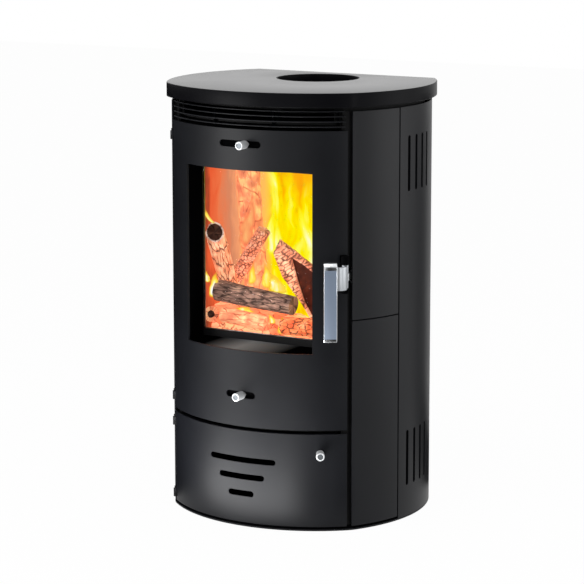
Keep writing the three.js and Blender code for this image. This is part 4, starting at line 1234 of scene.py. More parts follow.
def screw_tree(head):
    """Geometry Nodes: one screw at every point of an upright grid, two across."""
    tree, given = open_tree("back_panel_screws", {"Width": 0.35, "Height": 0.74}, "Rows", 5)
    sizes = {
        "Size X": given["Width"],
        "Size Y": given["Height"],
        "Vertices X": 2,
        "Vertices Y": given["Rows"],
    }
    grid = put(tree, "GeometryNodeMeshGrid", sizes)
    turn = {"Geometry": grid, "Rotation": (math.radians(90), 0, 0)}
    upright = put(tree, "GeometryNodeTransform", turn)
    screw = put(tree, "GeometryNodeObjectInfo", {"Object": head}).outputs["Geometry"]
    return close_tree(tree, upright, screw, given["Material"])


def screw_head(radius):
    """A low domed screw head with a star-shaped recess, its axis along y."""
    dome = ((0.0, 0.0), (1.0, 0.0), (1.0, 0.25), (0.92, 0.42), (0.6, 0.58))
    recess = ((0.42, 0.6), (0.38, 0.25), (0.0, 0.2))

    def spot_of(reach, rise, turn, k):
        lobes = 1 - 0.16 * (k % 4 == 0) if reach < 0.5 else 1.0
        size = reach * radius * lobes * MM
        return size * math.cos(turn), rise * radius * MM, size * math.sin(turn)

    points, faces = turned(dome + recess, 24, spot_of)
    mesh = bpy.data.meshes.new("screw_head")
    mesh.from_pydata(points, [], faces)
    clean_mesh(mesh, merge=False)
    return shade(link_object("screw_head", mesh), 40)


def make_back_screws(sizes):
    """The screws that hold the back panel, in two upright rows."""
    low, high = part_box("back_panel")
    head = screw_head(sizes.screw_radius)
    inset = 10 * MM
    values = {
        "Width": high.x - low.x - 2 * inset,
        "Height": high.z - low.z - 4 * inset,
        "Material": finishes["zinc"],
    }
    sunk = 0.1 * MM
    place = Vector(((low.x + high.x) / 2, high.y - sunk, (low.z + high.z) / 2))
    screws = grow("back_panel_screws", screw_tree(head), values, place)
    bpy.data.objects.remove(head)
    finish_piece(screws, "case", None)


# ---------------------------------------------------------------- doors


def make_hinge_eyes(name, ears, body, sheet):
    """The door's hinge eyes: a knuckle on the pin's line with a root behind the panel."""
    axis = wall_point(HINGE_HEADING, HINGE_OFFSET)
    outer, inner = ([wall_point(heading, at) for heading in ROOT_HEADINGS] for at in ROOT_OFFSETS)
    joined = {
        "root": outer + inner[::-1],
        "neck": wall_box(-46.4, -43.0, -9.0, -0.4),
        "weld": wall_box(-41.0, -38.2, -6.6, 0.4 - sheet),
    }
    for number, ear in enumerate(ears):
        bottom, top = (ear + rise for rise in ABOVE_EAR)
        knuckle = prism(f"{name}_{number}", circle(*axis, KNUCKLE_RADIUS, 40), bottom, top)
        for key, loop in joined.items():
            combine(knuckle, prism(key, loop, bottom, top))
        bore = prism("bore", circle(*axis, KNUCKLE_BORE, 32), bottom - 1, top + 1)
        combine(knuckle, bore, "DIFFERENCE")
        shade(ease_edges(knuckle, 0.4, 2))
        finish_piece(knuckle, body, finishes["paint"])


def make_main_door(sizes):
    edges = (DOOR_BOTTOM, heights("door_panel")[1])
    window = rectangle(WINDOW["half"], WINDOW["bottom"], WINDOW["top"])
    slots = [round_slot(s["length"], s["height"], s["z"]) for s in (UPPER_SLOT, LOWER_SLOT)]
    span = (-DOOR_EDGE, DOOR_EDGE)
    made = bent_panel("door_front_sheet", span, edges, DOOR_SHEET, [window, *slots])
    notch = prism("notch", wall_box(*NOTCH_HEADINGS, *NOTCH_OFFSETS), *NOTCH_HEIGHTS)
    combine(made, notch, "DIFFERENCE")
    finish_sheet(made, sizes, "main_door", "door_panel")
    make_hinge_eyes("main_door_hinge_eye", MAIN_EARS, "main_door", DOOR_SHEET)


def make_lower_door(sizes):
    bottom, top = heights("lower_door_panel")
    top -= STORE_DOOR_SHORT
    slots = [round_slot(length, STORE_SLOT_HEIGHT, z) for length, z in STORE_SLOTS]
    span = (-DOOR_EDGE, DOOR_EDGE)
    made = bent_panel("store_door_sheet", span, (bottom, top), LOWER_DOOR_SHEET, slots)
    finish_sheet(made, sizes, "lower_door", "lower_door_panel")
    span = (-FOLD_HALF_ANGLE, FOLD_HALF_ANGLE)
    for number, base in enumerate((bottom, top - FOLD_HEIGHT)):
        edges = (base, base + FOLD_HEIGHT)
        fold = bent_panel(f"store_door_fold_{number}", span, edges, FOLD_DEPTH, inset=FOLD_INSET)
        shade_on_plan(fold)
        finish_piece(fold, "lower_door", finishes["paint"])
    make_hinge_eyes("store_door_hinge_eye", STORE_EARS, "lower_door", LOWER_DOOR_SHEET)


# ---------------------------------------------------------------- knobs and handle


def make_knob(name, node, body, heading, z, foot):
    """A turned knob: stem, barrel with eased shoulders, and a recessed end."""
    r, reach = KNOB_RADIUS, KNOB_REACH
    shoulder, ease, rim, recess = 2.5, 0.8, 2.2, 1.6
    profile = [(0, foot), (KNOB_STEM, foot), (KNOB_STEM, shoulder)]
    profile += rounded(r, shoulder, reach, ease)
    profile += [(r - rim + 0.3, reach), (r - rim, reach - 0.3)]
    profile += [(r - rim, reach - recess), (0, reach - recess)]
    made = shade(lathe(name, profile, heading, z), 30)
    finish_piece(made, body, finishes["knob"], [node])
    foot_point, normal = wall_frame(heading)
    base = to_frame(foot_point.x, foot_point.y, z)

    def in_recess(face):
        spot = face.center - base
        out = (spot.x * normal.x + spot.y * normal.y) / MM
        return reach - recess - 0.2 < out < reach - 0.5 and face.normal.xy.dot(normal) > 0.9

    second_finish(made, "knob_end", in_recess)


def grip_place(along, offset):
    foot, normal = wall_frame(GRIP_HEADING)
    return foot + normal * offset + Vector((-normal.y, normal.x)) * along


def make_grip():
    """The flat bar of the handle, its face rolled back at the top."""
    bottom, top = heights("handle_grip")
    back, face = GRIP_FACE - GRIP_THICKNESS, GRIP_FACE
    chamfer, chamfer_rise, roll_drop, roll_steps = 4, 7, 14, 10
    side = [(back, bottom), (face - chamfer, bottom), (face, bottom + chamfer_rise)]
    side.append((face, top - roll_drop))
    roll = Vector((face, top - roll_drop)), Vector((face - 1, top - 2)), Vector((back + 2, top))
    side += [curve_at(*roll, k / roll_steps) for k in range(1, roll_steps + 1)]
    side.append((back, top))
    points = []
    for along in (-GRIP_WIDTH / 2, GRIP_WIDTH / 2):
        for offset, z in side:
            spot = grip_place(along, offset)
            points.append((spot.x, spot.y, z))
    faces = skin(even_rows(2, len(side)), True)
    made = ease_edges(mesh_object("handle_grip_bar", points, faces), 1.1, 3, 40)
    shade(made, 30)
    finish_piece(made, "door_handle", finishes["chrome"], ["handle_grip"])
    normal = wall_frame(GRIP_HEADING)[1]
    second_finish(made, "grip_face", lambda polygon: polygon.normal.xy.dot(normal) > 0.995)


def make_arm():
    """The cranked arm from the back of the grip to the hub on the door's edge."""
    bottom, top = heights("handle_arm")
    pivot = wall_point(PIVOT_HEADING, PIVOT_OFFSET)
    foot, normal = wall_frame(GRIP_HEADING)
    reach = pivot - foot
    pivot_along, pivot_offset = reach.dot(Vector((-normal.y, normal.x))), reach.dot(normal)
    middle = GRIP_FACE - GRIP_THICKNESS / 2

    def line(shift):
        points = [grip_place(GRIP_WIDTH / 2 + 0.3, middle + shift)]
        radius = ARM_BEND + shift
        for s, c in quarter(20):
            along = pivot_along - ARM_BEND + radius * s
            if along >= GRIP_WIDTH / 2 + 0.4:
                points.append(grip_place(along, middle - ARM_BEND + radius * c))
        points.append(grip_place(pivot_along + shift, pivot_offset))
        return points

    half = ARM_THICKNESS / 2
    made = prism("handle_arm_crank", line(half) + line(-half)[::-1], bottom, top)
    combine(made, prism("hub", circle(pivot.x, pivot.y, HUB_RADIUS, 48), bottom, top))
    ease_edges(made, 0.8, 3, 40)
    shade(made, 30)
    finish_piece(made, "door_handle", finishes["arm"], ["handle_arm"])


# ---------------------------------------------------------------- fire


def plan_spot(point):
    """A mesh point of the frame in plan millimetres."""
    return (point - plan_origin) / MM


def grain_map(made, origin, axis, across, radius):
    """Gives a log its UV map in metres, along and around, unbroken over each face."""
    up = axis.cross(across)
    mesh = made.data
    layer = mesh.uv_layers.new(name="grain")
    for face in mesh.polygons:
        middle = plan_spot(face.center) - origin
        turn_here = math.atan2(middle.dot(up), middle.dot(across))
        for k in face.loop_indices:
            spot = plan_spot(mesh.vertices[mesh.loops[k].vertex_index].co) - origin
            turn = math.atan2(spot.dot(up), spot.dot(across))
            turn -= 2 * math.pi * round((turn - turn_here) / (2 * math.pi))
            layer.data[k].uv = (spot.dot(axis) * MM, turn * radius * MM)


def log_mesh(name, place):
    """A log between two points: uneven, furrowed along its length, with cut ends.

    face turns the cut at the far end away from square, towards the way it points.
    """
    sides, rings, end_rings = 56, 70, 5
    a, b = Vector(place["from"]), Vector(place["to"])
    radius, seed, furrow = place["radius"], place["seed"], place.get("furrow", 0.12)
    axis = b - a
    length = axis.length
    axis.normalize()
    across = axis.orthogonal().normalized()
    up = axis.cross(across)
    cut = (axis + Vector(place.get("face", (0, 0, 0)))).normalized()
    points = []

    def ring(along, scale):
        skewed = max(0.0, along / length - 0.6) / 0.4
        for k in range(sides):
            turn = 2 * math.pi * k / sides
            round_place = Vector((math.cos(turn), math.sin(turn), 0))
            lump = noise.noise(round_place * 0.9 + Vector((0, 0, along / 60 + seed * 7)))
            ridge = noise.noise(round_place * 4.2 + Vector((0, 0, along / 34 + seed * 3)))
            ridge = 1 - 2 * abs(ridge)
            taper = 1 - place.get("taper", 0.0) * along / length
            reach = radius * taper * scale * (0.95 + 0.06 * lump + furrow * 0.5 * (ridge - 1))
            spoke = across * (reach * math.cos(turn)) + up * (reach * math.sin(turn))
            lean = -spoke.dot(cut) / axis.dot(cut) * skewed
            points.append(tuple(a + axis * (along + lean) + spoke))

    for k in range(end_rings, 0, -1):
        ring(0, 1 - k / (end_rings + 1))
    for k in range(rings + 1):
        ring(length * k / rings, 1.0)
    for k in range(1, end_rings + 1):
        ring(length, 1 - k / (end_rings + 1))
    made = mesh_object(name, points, skin(even_rows(len(points) // sides, sides), True))
    grain_map(made, a, axis, across, radius)
    return shade(made, 60)


def char_end(made, place, char, ash):
    """Gives the cut at a log's far end its burnt heart and the ash ring round it."""
    made.data.materials.append(char)
    made.data.materials.append(ash)
    a, b = Vector(place["from"]), Vector(place["to"])
    axis = (b - a).normalized()
    cut = (axis + Vector(place["face"])).normalized()
    for face in made.data.polygons:
        off = plan_spot(face.center) - b
        if abs(off.dot(cut)) < 0.8 and abs(face.normal.dot(cut)) > 0.7:
            away = off - axis * off.dot(axis)
            burnt = away.length < place["radius"] * place["burnt"]
            face.material_index = 1 if burnt else place["ring"]


# Each log: its ends, radius and noise seed, then its wood as burning_wood takes it. The
# two ember pieces lie in the heap of embers and stand for no node.
ROUND_LOGS = {
    "log_front": {
        "from": (-135, -114, 425),
        "to": (36, -114, 410),
        "radius": 23,
        "taper": 0.14,
        "seed": 1,
        "wood": ("half_burnt_grey_bark", ("#6a544c", "#927064", "#b89482"), "#2c1a14", 0.6, 7, 40, 0.3),
    },
    "log_left": {
        "from": (-138, -52, 396),
        "to": (-141.5, -116, 540),
        "radius": 20,
        "seed": 2,
        "face": (0.55, -0.95, 0.1),
        "burnt": 0.76,
        "ring": 2,
        "wood": ("glowing_bark_left", ("#e08a68", "#faab84", "#ffcca8"), "#5e281c", 0.86, 8, 34, 0.18),
    },
    "log_middle": {
        "from": (-151, -29, 428),
        "to": (-80, -29, 537),
        "radius": 14.5,
        "seed": 4,
        "wood": ("glowing_checked_bark", ("#dc8868", "#f6a684", "#ffc4a6"), "#52201a", 0.9, 8, 6, 0.34),
    },
    "log_back": {
        "from": (-122, 18, 360),
        "to": (-141, 8, 655),
        "radius": 26,
        "seed": 3,
        "furrow": 0.2,
        "wood": ("glowing_old_log", ("#d08464", "#f8a074", "#ffc88c"), "#a85840", 0.95, 15, 50, 0.07),
    },
    "ember_stub": {
        "from": (-152, -96, 374),
        "to": (-144, -127, 378),
        "radius": 16,
        "seed": 8,
        "face": (0.2, -0.6, 0.1),
        "burnt": 0.45,
        "ring": 0,
        "wood": ("glowing_stub", ("#e0805c", "#fa9c70", "#ffc090"), "#8a3a26", 0.9, 8, 20, 0.12),
    },
    "ember_log": {
        "from": (-122, -116, 378),
        "to": (-20, -119, 370),
        "radius": 17,
        "taper": 0.1,
        "seed": 9,
        "furrow": 0.2,
        "wood": ("glowing_fallen_log", ("#ec8060", "#fca67a", "#ffc896"), "#a04a32", 0.92, 12, 60, 0.08),
    },
    "log_right_small": {
        "from": (16, -118, 369),
        "to": (112, -118, 375),
        "radius": 18.5,
        "seed": 5,
        "furrow": 0.2,
        "wood": ("fissured_char", ("#d85a34", "#fa8450", "#ffa878"), "#2a0d08", 0.9, 9, 13, 0.24),
    },
}


def make_logs(fire):
    char = burning_wood("dull_charred_end", ("#2a1712", "#3c221a", "#4e3026"), "#160a07", 0.5, 30, 30)
    ash = burning_wood("pale_ash_ring", ("#a88c80", "#c8aea4", "#dcc8c0"), "#6a4c42", 0.7, 30, 30)
    for name, place in ROUND_LOGS.items():
        title, tones, crack, glow, *pattern = place["wood"]
        wood = burning_wood(title, tones, crack, glow * fire.wood_glow, *pattern)
        made = log_mesh(name + "_wood", place)
        finish_piece(made, "case", wood, [name] if name in nodes else ())
        if "face" in place:
            char_end(made, place, char, ash)


# Outlines (x, z) of the split log's near end and, inside it, of its split face.
SPLIT_END = (
    (-24, 529), (13, 507), (54, 481), (90, 451), (86, 390),
    (70, 341), (24, 406), (-19, 454), (-40, 500),
)
SPLIT_FACE = ((0, 496), (30, 482), (56, 466), (86, 447), (82, 392), (66, 352), (30, 408), (14, 450))
SPLIT_END_Y = -64
SPLIT_RUN = Vector((-45, 80, 12))
SPLIT_SAG = 26


def spaced(loop, count):
    """A closed (x, z) loop as evenly spaced points."""
    corners = [Vector(p) for p in loop]
    lengths = [(corners[(k + 1) % len(corners)] - p).length for k, p in enumerate(corners)]
    total = sum(lengths)
    points, edge, gone = [], 0, 0.0
    for k in range(count):
        want = total * k / count
        while want > gone + lengths[edge]:
            gone += lengths[edge]
            edge += 1
        along = (want - gone) / lengths[edge]
        points.append(corners[edge].lerp(corners[(edge + 1) % len(corners)], along))
    return points


def make_split_log(fire):
    """The big split log: bark that curls round its front, and a dark split heart."""
    count, sections, bands, shrink = 120, 26, 9, 0.985
    rim = spaced(SPLIT_END, count)
    heart = spaced(SPLIT_FACE, count)
    middle = sum(rim, Vector((0, 0))) / count
    points = []

    def row(loop, spot_of):
        points.extend(spot_of(n, middle + (spot - middle) * shrink) for n, spot in enumerate(loop))

    def side(run, n, flat):
        """A point of the bark at a share of the way to the far end, which sags a little."""
        rough = noise.noise(Vector((n * 0.3, run * 5.0, 2.0)))
        ridge = 1 - 2 * abs(noise.noise(Vector((n * 0.7, run * 12.0, 9.0))))
        pull = 1 - 0.015 * rough - 0.03 * (1 - ridge)
        shift = SPLIT_RUN * run
        place = middle + (flat - middle) * pull
        sag = SPLIT_SAG * run * max(0.0, min(1.0, (flat.y - middle.y + 30) / 70))
        return place.x + shift.x, SPLIT_END_Y + shift.y, place.y + shift.z - sag

    def front(t, flat):
        """A point of the scaly bark between the rim and the split face."""
        bulge = 3.5 * math.sin(math.pi * min(1, t * 1.15)) * (1 - 0.4 * t)
        scale = 2.2 * noise.noise(Vector((flat.x / 5.5 + flat.y / 14, flat.y / 9 - flat.x / 18, 4.0)))
        return flat.x, SPLIT_END_Y - bulge - scale * math.sin(math.pi * t) + 0.3, flat.y

    for k in range(sections, -1, -1):
        row(rim, lambda n, flat: side(k / sections, n, flat))
    for k in range(1, bands + 1):
        band = [r.lerp(h, k / bands) for r, h in zip(rim, heart)]
        row(band, lambda n, flat: front(k / bands, flat))
    row(heart, lambda n, flat: (flat.x, SPLIT_END_Y + 5, flat.y))
    inner = [spot.lerp(middle, 0.12) for spot in heart]
    row(inner, lambda n, flat: (flat.x, SPLIT_END_Y + 7, flat.y))
    rows = even_rows(len(points) // count, count)
    made = mesh_object("log_right_split_wood", points, skin(rows, True))
    mesh = made.data
    layer = mesh.uv_layers.new(name="grain")
    for face in mesh.polygons:
        for k in face.loop_indices:
            spot = plan_spot(mesh.vertices[mesh.loops[k].vertex_index].co)
            along = (spot.x * 0.5 - spot.z * 0.86) + (spot.y - SPLIT_END_Y) * 0.4
            beside = (spot.x * 0.86 + spot.z * 0.5) + (spot.y - SPLIT_END_Y) * 0.6
            layer.data[k].uv = (beside * MM, along * MM)
    shade(made, 45)
    glow = fire.wood_glow
    tones = ("#b86c54", "#ee9c7c", "#ffc4a4")
    bark = burning_wood("scaly_burning_bark", tones, "#4a1c14", glow * 0.95, 6, 19, 0.3)
    # The split face towards the glass: dark tones and weak glow, as painted shade.
    tones = ("#2c0d07", "#42150b", "#5c2412")
    split = burning_wood("charred_split_heart", tones, "#1c0804", glow * 0.6, 40, 70, 0.05)
    finish_piece(made, "case", bark, ["log_right_split"])
    mesh.materials.append(split)
    for face in mesh.polygons:
        middle_y = (face.center.y - plan_origin.y) / MM
        if face.normal.y < -0.6 and middle_y > SPLIT_END_Y + 1.5:
            face.material_index = 1


def make_embers():
    """The heap of embers, broken into lumps, on the real heap's own shape."""
    made = link_object("ember_heap", nodes["ember_bed"].data.copy())
    clean_mesh(made.data, outwards=False)
    remesh = made.modifiers.new("even", "REMESH")
    remesh.mode = "VOXEL"
    remesh.voxel_size = 2.6 * MM
    apply_modifiers(made)
    normals = [vertex.normal.copy() for vertex in made.data.vertices]
    for vertex, normal in zip(made.data.vertices, normals):
        spot = vertex.co / MM
        cell = noise.cell_vector(spot / 13) * 0.4
        lump = noise.noise(spot / 11 + cell)
        fine = noise.noise(spot / 4)
        if normal.z > -0.5:
            vertex.co += normal * (-1.6 + 1.3 * lump + 0.4 * fine) * MM
    shade(made, 180)
    finish_piece(made, "case", live_embers("live_embers"), ["ember_bed"])


def make_flame_wall(fire):
    """A sheet of fire that stands along the bricks, open towards the glass."""
    inner_x, front_y, back_y, bend = 161.5, -122, 97, 26
    bottom, top, levels, thickness = 326, 684, 48, 1.2
    right = [Vector((inner_x, front_y)), Vector((inner_x, back_y - bend))]
    for s, c in quarter(8)[1:]:
        right.append(Vector((inner_x - bend + bend * c, back_y - bend + bend * s)))
    path = right + [Vector((-p.x, p.y)) for p in reversed(right)]
    fine = []
    for p, q in zip(path, path[1:]):
        steps = max(1, int((q - p).length / 6))
        fine += [p + (q - p) * (k / steps) for k in range(steps)]
    fine.append(path[-1])
    width = len(fine)
    points, faces = [], []
    for extra in (thickness, 0.0):
        for level in range(levels + 1):
            z = bottom + (top - bottom) * level / levels
            for k, p in enumerate(fine):
                ahead = fine[min(k + 1, width - 1)] - fine[max(k - 1, 0)]
                inward = Vector((ahead.y, -ahead.x)).normalized()
                wave = noise.noise(Vector((k * 0.22, z / 120, 5.0))) * 2.2 + 2.2
                away = -1 if inward.dot(p) > 0 else 1
                spot = p + inward * ((wave + extra) * away)
                points.append((spot.x, spot.y, z))
    step = width * (levels + 1)
    for level in range(levels):
        for k in range(width - 1):
            a = level * width + k
            quad = (a, a + 1, a + 1 + width, a + width)
            faces.append(quad)
            faces.append(tuple(i + step for i in reversed(quad)))
    for k in range(width - 1):
        for a in (k, levels * width + k):
            faces.append((a, a + 1, a + 1 + step, a + step))
    for level in range(levels):
        for a in (level * width, level * width + width - 1):
            faces.append((a, a + width, a + width + step, a + step))
    made = shade(mesh_object("flame_wall", points, faces), 180)
    finish_piece(made, "case", flame_wall("flame_along_bricks", fire.flame_strength))


def flame_object(name, points, hearts, sides, material):
    """A closed lick of flame with how far each point lies from its rim."""
    faces = skin(even_rows(len(points) // sides, sides), True)
    mesh = bpy.data.meshes.new(name)
    mesh.from_pydata([to_frame(*p) for p in points], [], faces)
    heart = mesh.attributes.new("heart", "FLOAT", "POINT")
    heart.data.foreach_set("value", hearts)
    clean_mesh(mesh, merge=False)
    made = shade(link_object(name, mesh), 180)
    finish_piece(made, "case", material)


FLAME_TONGUES = (
    # foot x, y, z; height; width; lean x; depth; tone
    ((-140, -125, 410), 62, 26, 6, 7, "pale"),
    ((-152, -125, 440), 26, 14, -2, 6, "pale"),
    ((-74, -88, 436), 52, 20, 8, 8, "pale"),
    ((-40, -88, 430), 60, 26, 6, 8, "pale"),
    ((-14, -86, 424), 42, 50, -16, 9, "pale"),
    ((14, -126, 352), 42, 18, 10, 5, "pale"),
    ((-4, -126, 372), 22, 16, -6, 5, "pale"),
    ((-74, -112, 384), 16, 50, 4, 5, "pale"),
    ((-58, 10, 440), 130, 34, -34, 12, "white"),
    ((-2, 40, 430), 170, 46, -46, 12, "white"),
    ((40, 44, 400), 230, 70, -20, 16, "white"),
    ((-100, 36, 470), 120, 26, 6, 10, "white"),
    ((-124, -30, 500), 110, 40, 24, 8, "rose"),
)

FLAME_TONES = {
    "pale": (
        "flame_pale",
        [(0.1, "#ffb648"), (0.26, "#ffd038"), (0.42, "#fff060"), (0.56, "#fffac0"), (0.7, "#ffffff")],
        2.0,
    ),
    "white": (
        "flame_white_hot",
        [(0.1, "#fff400"), (0.3, "#fffa30"), (0.5, "#ffff90"), (0.7, "#fffff4")],
        6.0,
    ),
    "rose": (
        "flame_rose",
        [(0.05, "#f2744a"), (0.25, "#f8905e"), (0.45, "#fcb070"), (0.65, "#ffd890")],
        9.0,
    ),
}


def make_arc_flame(material):
    """The thin bright lick that curls over the left log's end."""
    start, pull, end = Vector((-160, -124, 588)), Vector((-152, -124, 562)), Vector((-132, -124, 559))
    steps, sides = 24, 10
    points, hearts = [], []
    for k in range(steps + 1):
        t = k / steps
        middle = curve_at(start, pull, end, t)
        along = ((pull - start) * (1 - t) + (end - pull) * t).normalized()
        side = Vector((0, 1, 0)).cross(along)
        reach = 0.4 + 3.6 * math.sin(math.pi * min(1, t + 0.12)) ** 0.8
        for n in range(sides):
            turn = 2 * math.pi * n / sides
            spot = middle + side * (reach * math.cos(turn)) + Vector((0, 2 * math.sin(turn), 0))
            points.append(tuple(spot))
            hearts.append((1 - abs(math.cos(turn)) ** 2.2) * min(1, 4 * t, 4 * (1 - t)))
    flame_object("flame_arc", points, hearts, sides, material)


def make_flames(fire):
    """Licks of flame between the logs and tall ones behind them."""
    tones = {
        key: flame_tongue(name, stops, fire.flame_strength, seed)
        for key, (name, stops, seed) in FLAME_TONES.items()
    }
    rings, sides = 44, 20
    for number, (foot, height, width, lean, depth, tone) in enumerate(FLAME_TONGUES):
        points, hearts = [], []
        for level in range(rings + 1):
            t = level / rings
            body = math.sin(math.pi * min(1.0, 0.12 + 0.88 * t) ** 0.75) ** 0.9 * (1 - 0.35 * t)
            sway = noise.noise(Vector((number * 3.1, t * 3.0, 0.5))) * width * 0.6 * t
            middle = Vector((foot[0] + lean * t * t + sway, foot[1], foot[2] + height * t))
            for k in range(sides):
                turn = 2 * math.pi * k / sides
                ragged = 1 + 0.3 * noise.noise(Vector((math.cos(turn) * 1.5, t * 6.0, number * 5.0)))
                reach = max(body, 0.02) * ragged
                across = width / 2 * reach * math.cos(turn)
                thick = depth / 2 * reach * math.sin(turn)
                points.append((middle.x + across, middle.y + thick, middle.z))
                rim = 1 - abs(math.cos(turn)) ** 1.7
                foot_fade = min(1.0, t / 0.15)
                tip_fade = min(1.0, (1 - t) / 0.5)
                hearts.append(rim * foot_fade * tip_fade)
        flame_object(f"flame_{number}", points, hearts, sides, tones[tone])
    make_arc_flame(tones["pale"])


# ---------------------------------------------------------------- stage


def make_camera(stage):
    """The photograph's view: level distance, height and pitch, slightly shifted."""
    data = bpy.data.cameras.new("photo_camera")
    data.sensor_width = SENSOR_MM
    data.lens = stage.camera_lens
    data.shift_x, data.shift_y = CAMERA_SHIFT
    data.clip_start = 0.1
    data.clip_end = 60.0
    camera = link_object("photo_camera", data)
    azimuth, distance = stage.camera_azimuth, stage.camera_distance
    away = (distance * math.sin(azimuth), -distance * math.cos(azimuth), stage.camera_height)
    camera.location = plan_origin + Vector(away)
    camera.rotation_euler = (math.pi / 2 - stage.camera_pitch, 0, azimuth)
    bpy.context.scene.camera = camera


def seen_directly(tree):
    """1 for camera, glossy and transmission rays, which see the pale background."""
    path = put(tree, "ShaderNodeLightPath").outputs
    rays = {0: path["Is Camera Ray"], 1: path["Is Glossy Ray"]}
    first = put(tree, "ShaderNodeMath", rays, operation="MAXIMUM")
    rays = {0: first, 1: path["Is Transmission Ray"]}
    return put(tree, "ShaderNodeMath", rays, operation="MAXIMUM")


def make_world(level):
    world = bpy.data.worlds.new("white_studio")
    bpy.context.scene.world = world
    world.use_nodes = True
    tree = world.node_tree
    tree.nodes.clear()
    soft = put(tree, "ShaderNodeBackground", {"Color": (1, 1, 1, 1), "Strength": level})
    white = put(tree, "ShaderNodeBackground", {"Color": (1, 1, 1, 1), "Strength": 1.0})
    mix = put(tree, "ShaderNodeMixShader", {0: seen_directly(tree), 1: soft, 2: white})
    put(tree, "ShaderNodeOutputWorld", {"Surface": mix})


def make_floor():
    """A pale floor that keeps a faint shadow of the stove."""
    half, z = 9.0, -0.0008
    corners = [(-half, -half, z), (half, -half, z), (half, half, z), (-half, half, z)]
    mesh = bpy.data.meshes.new("floor")
    mesh.from_pydata(corners, [], [(0, 1, 2, 3)])
    direct_glow = 0.97
    material, tree = new_material("white_studio_floor")
    matt = put(tree, "ShaderNodeBsdfDiffuse", {"Color": (0.9, 0.9, 0.9, 1)})
    glow = put(tree, "ShaderNodeEmission", {"Color": (1, 1, 1, 1), "Strength": 1.0})
    share = put(tree, "ShaderNodeMath", {0: seen_directly(tree), 1: direct_glow}, operation="MULTIPLY")
    close_material(material, put(tree, "ShaderNodeMixShader", {0: share, 1: matt, 2: glow}))
    mesh.materials.append(material)
    link_object("floor", mesh)


def make_lamp(name, azimuth, elevation, distance, size, power, target):
    """A soft box that looks at the stove from an azimuth and an elevation."""
    data = bpy.data.lights.new(name, "AREA")
    data.shape = "RECTANGLE"
    data.size, data.size_y = size
    data.energy = power
    lamp = link_object(name, data)
    a, e = math.radians(azimuth), math.radians(elevation)
    back = Vector((math.sin(a) * math.cos(e), -math.cos(a) * math.cos(e), math.sin(e)))
    lamp.location = Vector(target) + back * distance
    lamp.rotation_mode = "QUATERNION"
    lamp.rotation_quaternion = back.to_track_quat("Z", "Y")
    lamp.visible_camera = False


def make_card(name, azimuth, distance, width, height, near, near_width):
    """A black card that only reflections see, as a photographer sets beside dark gloss.

    It lies on the floor from near outwards and then stands up.
    """
    a = math.radians(azimuth)
    out = Vector((math.sin(a), -math.cos(a), 0))
    across = Vector((math.cos(a), math.sin(a), 0)) * (width / 2)
    low = Vector((0, 0, 0.002))
    rows = (
        (out * near + low, near_width / width),
        (out * distance + low, 1.0),
        (out * distance + Vector((0, 0, height)), 1.0),
    )
    corners = []
    for middle, spread in rows:
        corners += [middle - across * spread, middle + across * spread]
    mesh = bpy.data.meshes.new(name)
    mesh.from_pydata(corners, [], [(0, 1, 3, 2), (2, 3, 5, 4)])
    card = link_object(name, mesh)
    material, tree = new_material("black_card")
    mesh.materials.append(close_material(material, put(tree, "ShaderNodeEmission", {"Strength": 0.0})))
    card.visible_camera = False
    card.visible_diffuse = False
    card.visible_transmission = False
    card.visible_shadow = False


# ---------------------------------------------------------------- operators


class StoveSettings(bpy.types.PropertyGroup):
    """Everything that a user would change."""

    looks: PointerProperty(type=StoveLooks)
    sizes: PointerProperty(type=StoveSizes)
    fire: PointerProperty(type=StoveFire)
    stage: PointerProperty(type=StoveStage)


class STOVE_OT_stage(bpy.types.Operator):
    """Set up the floor, world, lamps, cards and camera"""

    bl_idname = "stove.stage"
    bl_label = "Stage"

    def execute(self, context):
        stage = context.scene.stove.stage
        context.scene.view_settings.view_transform = "Standard"
        make_camera(stage)
        make_world(stage.world_level)
        make_floor()
        for lamp in LAMPS:
            make_lamp(*lamp)
        for card in CARDS:
            make_card(*card)
        return {"FINISHED"}


NODE_FINISHES = {
    "dark": """storage_compartment middle_deck front_post_right front_post_left front_frame
        firebox_shell firebox_top hearth_plate top_deck door_liner upper_slide_guide
        lower_slide_guide""",
    # The black and reveal finishes carry painted shade: near-black for recessed and hidden parts and the
    # window's reveal.
    "black": """upper_slide_plate lower_slide_plate plinth storage_floor storage_top
        handle_bracket""",
    "reveal": "window_reveal",
    "paint": "back_panel",
    "iron": "grate log_retainer flue_collar glass_frame",
    "board": "brick_right brick_left brick_back brick_floor baffle_plate",
    "glass": "door_glass",
    "rope": "door_seal",
    "zinc": "ash_pan glass_retainer latch_keeper magnet_catch latch_hook",
}


class STOVE_OT_finishes(bpy.types.Operator):
    """Make the finishes and give the frame's own parts theirs"""

    bl_idname = "stove.finishes"
    bl_label = "Finishes"

    def execute(self, context):
        make_finishes(context.scene.stove.looks)
        for key, names in NODE_FINISHES.items():
            for name in names.split():
                dress_node(name, finishes[key])
        # The sill takes its painted shade and highlight, and the glass's edge faces the near-black of
        # painted shade.
        second_finish(nodes["window_reveal"], "sill", lambda face: face.normal.z > 0.7)
        second_finish(nodes["door_glass"], "black", lambda face: abs(face.normal.y) < 0.5)
        return {"FINISHED"}


class STOVE_OT_casing(bpy.types.Operator):
    """Make the base, the side panels, the louvred rear shells and the back's screws"""

    bl_idname = "stove.casing"
    bl_label = "Casing"

    def execute(self, context):
        sizes = context.scene.stove.sizes
        make_base()
        make_side_panels(sizes)
        make_rear_shells(sizes)
        make_back_screws(sizes)
        return {"FINISHED"}


class STOVE_OT_top(bpy.types.Operator):
    """Make the top plate and the air grille"""

    bl_idname = "stove.top"
    bl_label = "Top"

    def execute(self, context):
        sizes = context.scene.stove.sizes
        make_top_plate(sizes)
        make_grille(sizes)
        return {"FINISHED"}


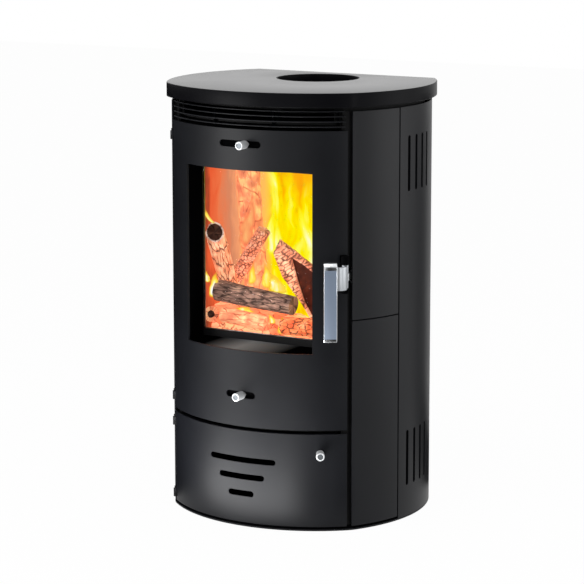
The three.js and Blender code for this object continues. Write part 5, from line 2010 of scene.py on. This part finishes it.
class STOVE_OT_doors(bpy.types.Operator):
    """Make the fire door's and the store door's curved fronts"""

    bl_idname = "stove.doors"
    bl_label = "Doors"

    def execute(self, context):
        sizes = context.scene.stove.sizes
        make_main_door(sizes)
        make_lower_door(sizes)
        return {"FINISHED"}


class STOVE_OT_controls(bpy.types.Operator):
    """Make the knobs and the door handle"""

    bl_idname = "stove.controls"
    bl_label = "Knobs and Handle"

    def execute(self, context):
        for knob in KNOBS:
            make_knob(*knob)
        make_grip()
        make_arm()
        return {"FINISHED"}


class STOVE_OT_fire(bpy.types.Operator):
    """Make the logs, the embers and the flames"""

    bl_idname = "stove.fire"
    bl_label = "Fire"

    def execute(self, context):
        fire = context.scene.stove.fire
        make_logs(fire)
        make_split_log(fire)
        make_embers()
        make_flame_wall(fire)
        make_flames(fire)
        return {"FINISHED"}


class STOVE_PT_panel(bpy.types.Panel):
    """Lists the steps in the sidebar"""

    bl_idname = "STOVE_PT_panel"
    bl_label = "Curved Wood Stove"
    bl_space_type = "VIEW_3D"
    bl_region_type = "UI"
    bl_category = "Stove"

    def draw(self, context):
        for operator in OPERATORS:
            self.layout.operator(operator.bl_idname)
        for group in ("looks", "sizes", "fire", "stage"):
            values = getattr(context.scene.stove, group)
            column = self.layout.column(heading=group.capitalize())
            for key in values.__annotations__:
                column.prop(values, key)


OPERATORS = (
    STOVE_OT_stage,
    STOVE_OT_finishes,
    STOVE_OT_casing,
    STOVE_OT_top,
    STOVE_OT_doors,
    STOVE_OT_controls,
    STOVE_OT_fire,
)
CLASSES = (StoveLooks, StoveSizes, StoveFire, StoveStage, StoveSettings, *OPERATORS, STOVE_PT_panel)


def register():
    for entry in CLASSES:
        bpy.utils.register_class(entry)
    bpy.types.Scene.stove = PointerProperty(type=StoveSettings)


def unregister():
    del bpy.types.Scene.stove
    for entry in reversed(CLASSES):
        bpy.utils.unregister_class(entry)


def main():
    register()
    for operator in OPERATORS:
        group, name = operator.bl_idname.split(".")
        getattr(getattr(bpy.ops, group), name)()


if __name__ == "__main__":
    main()
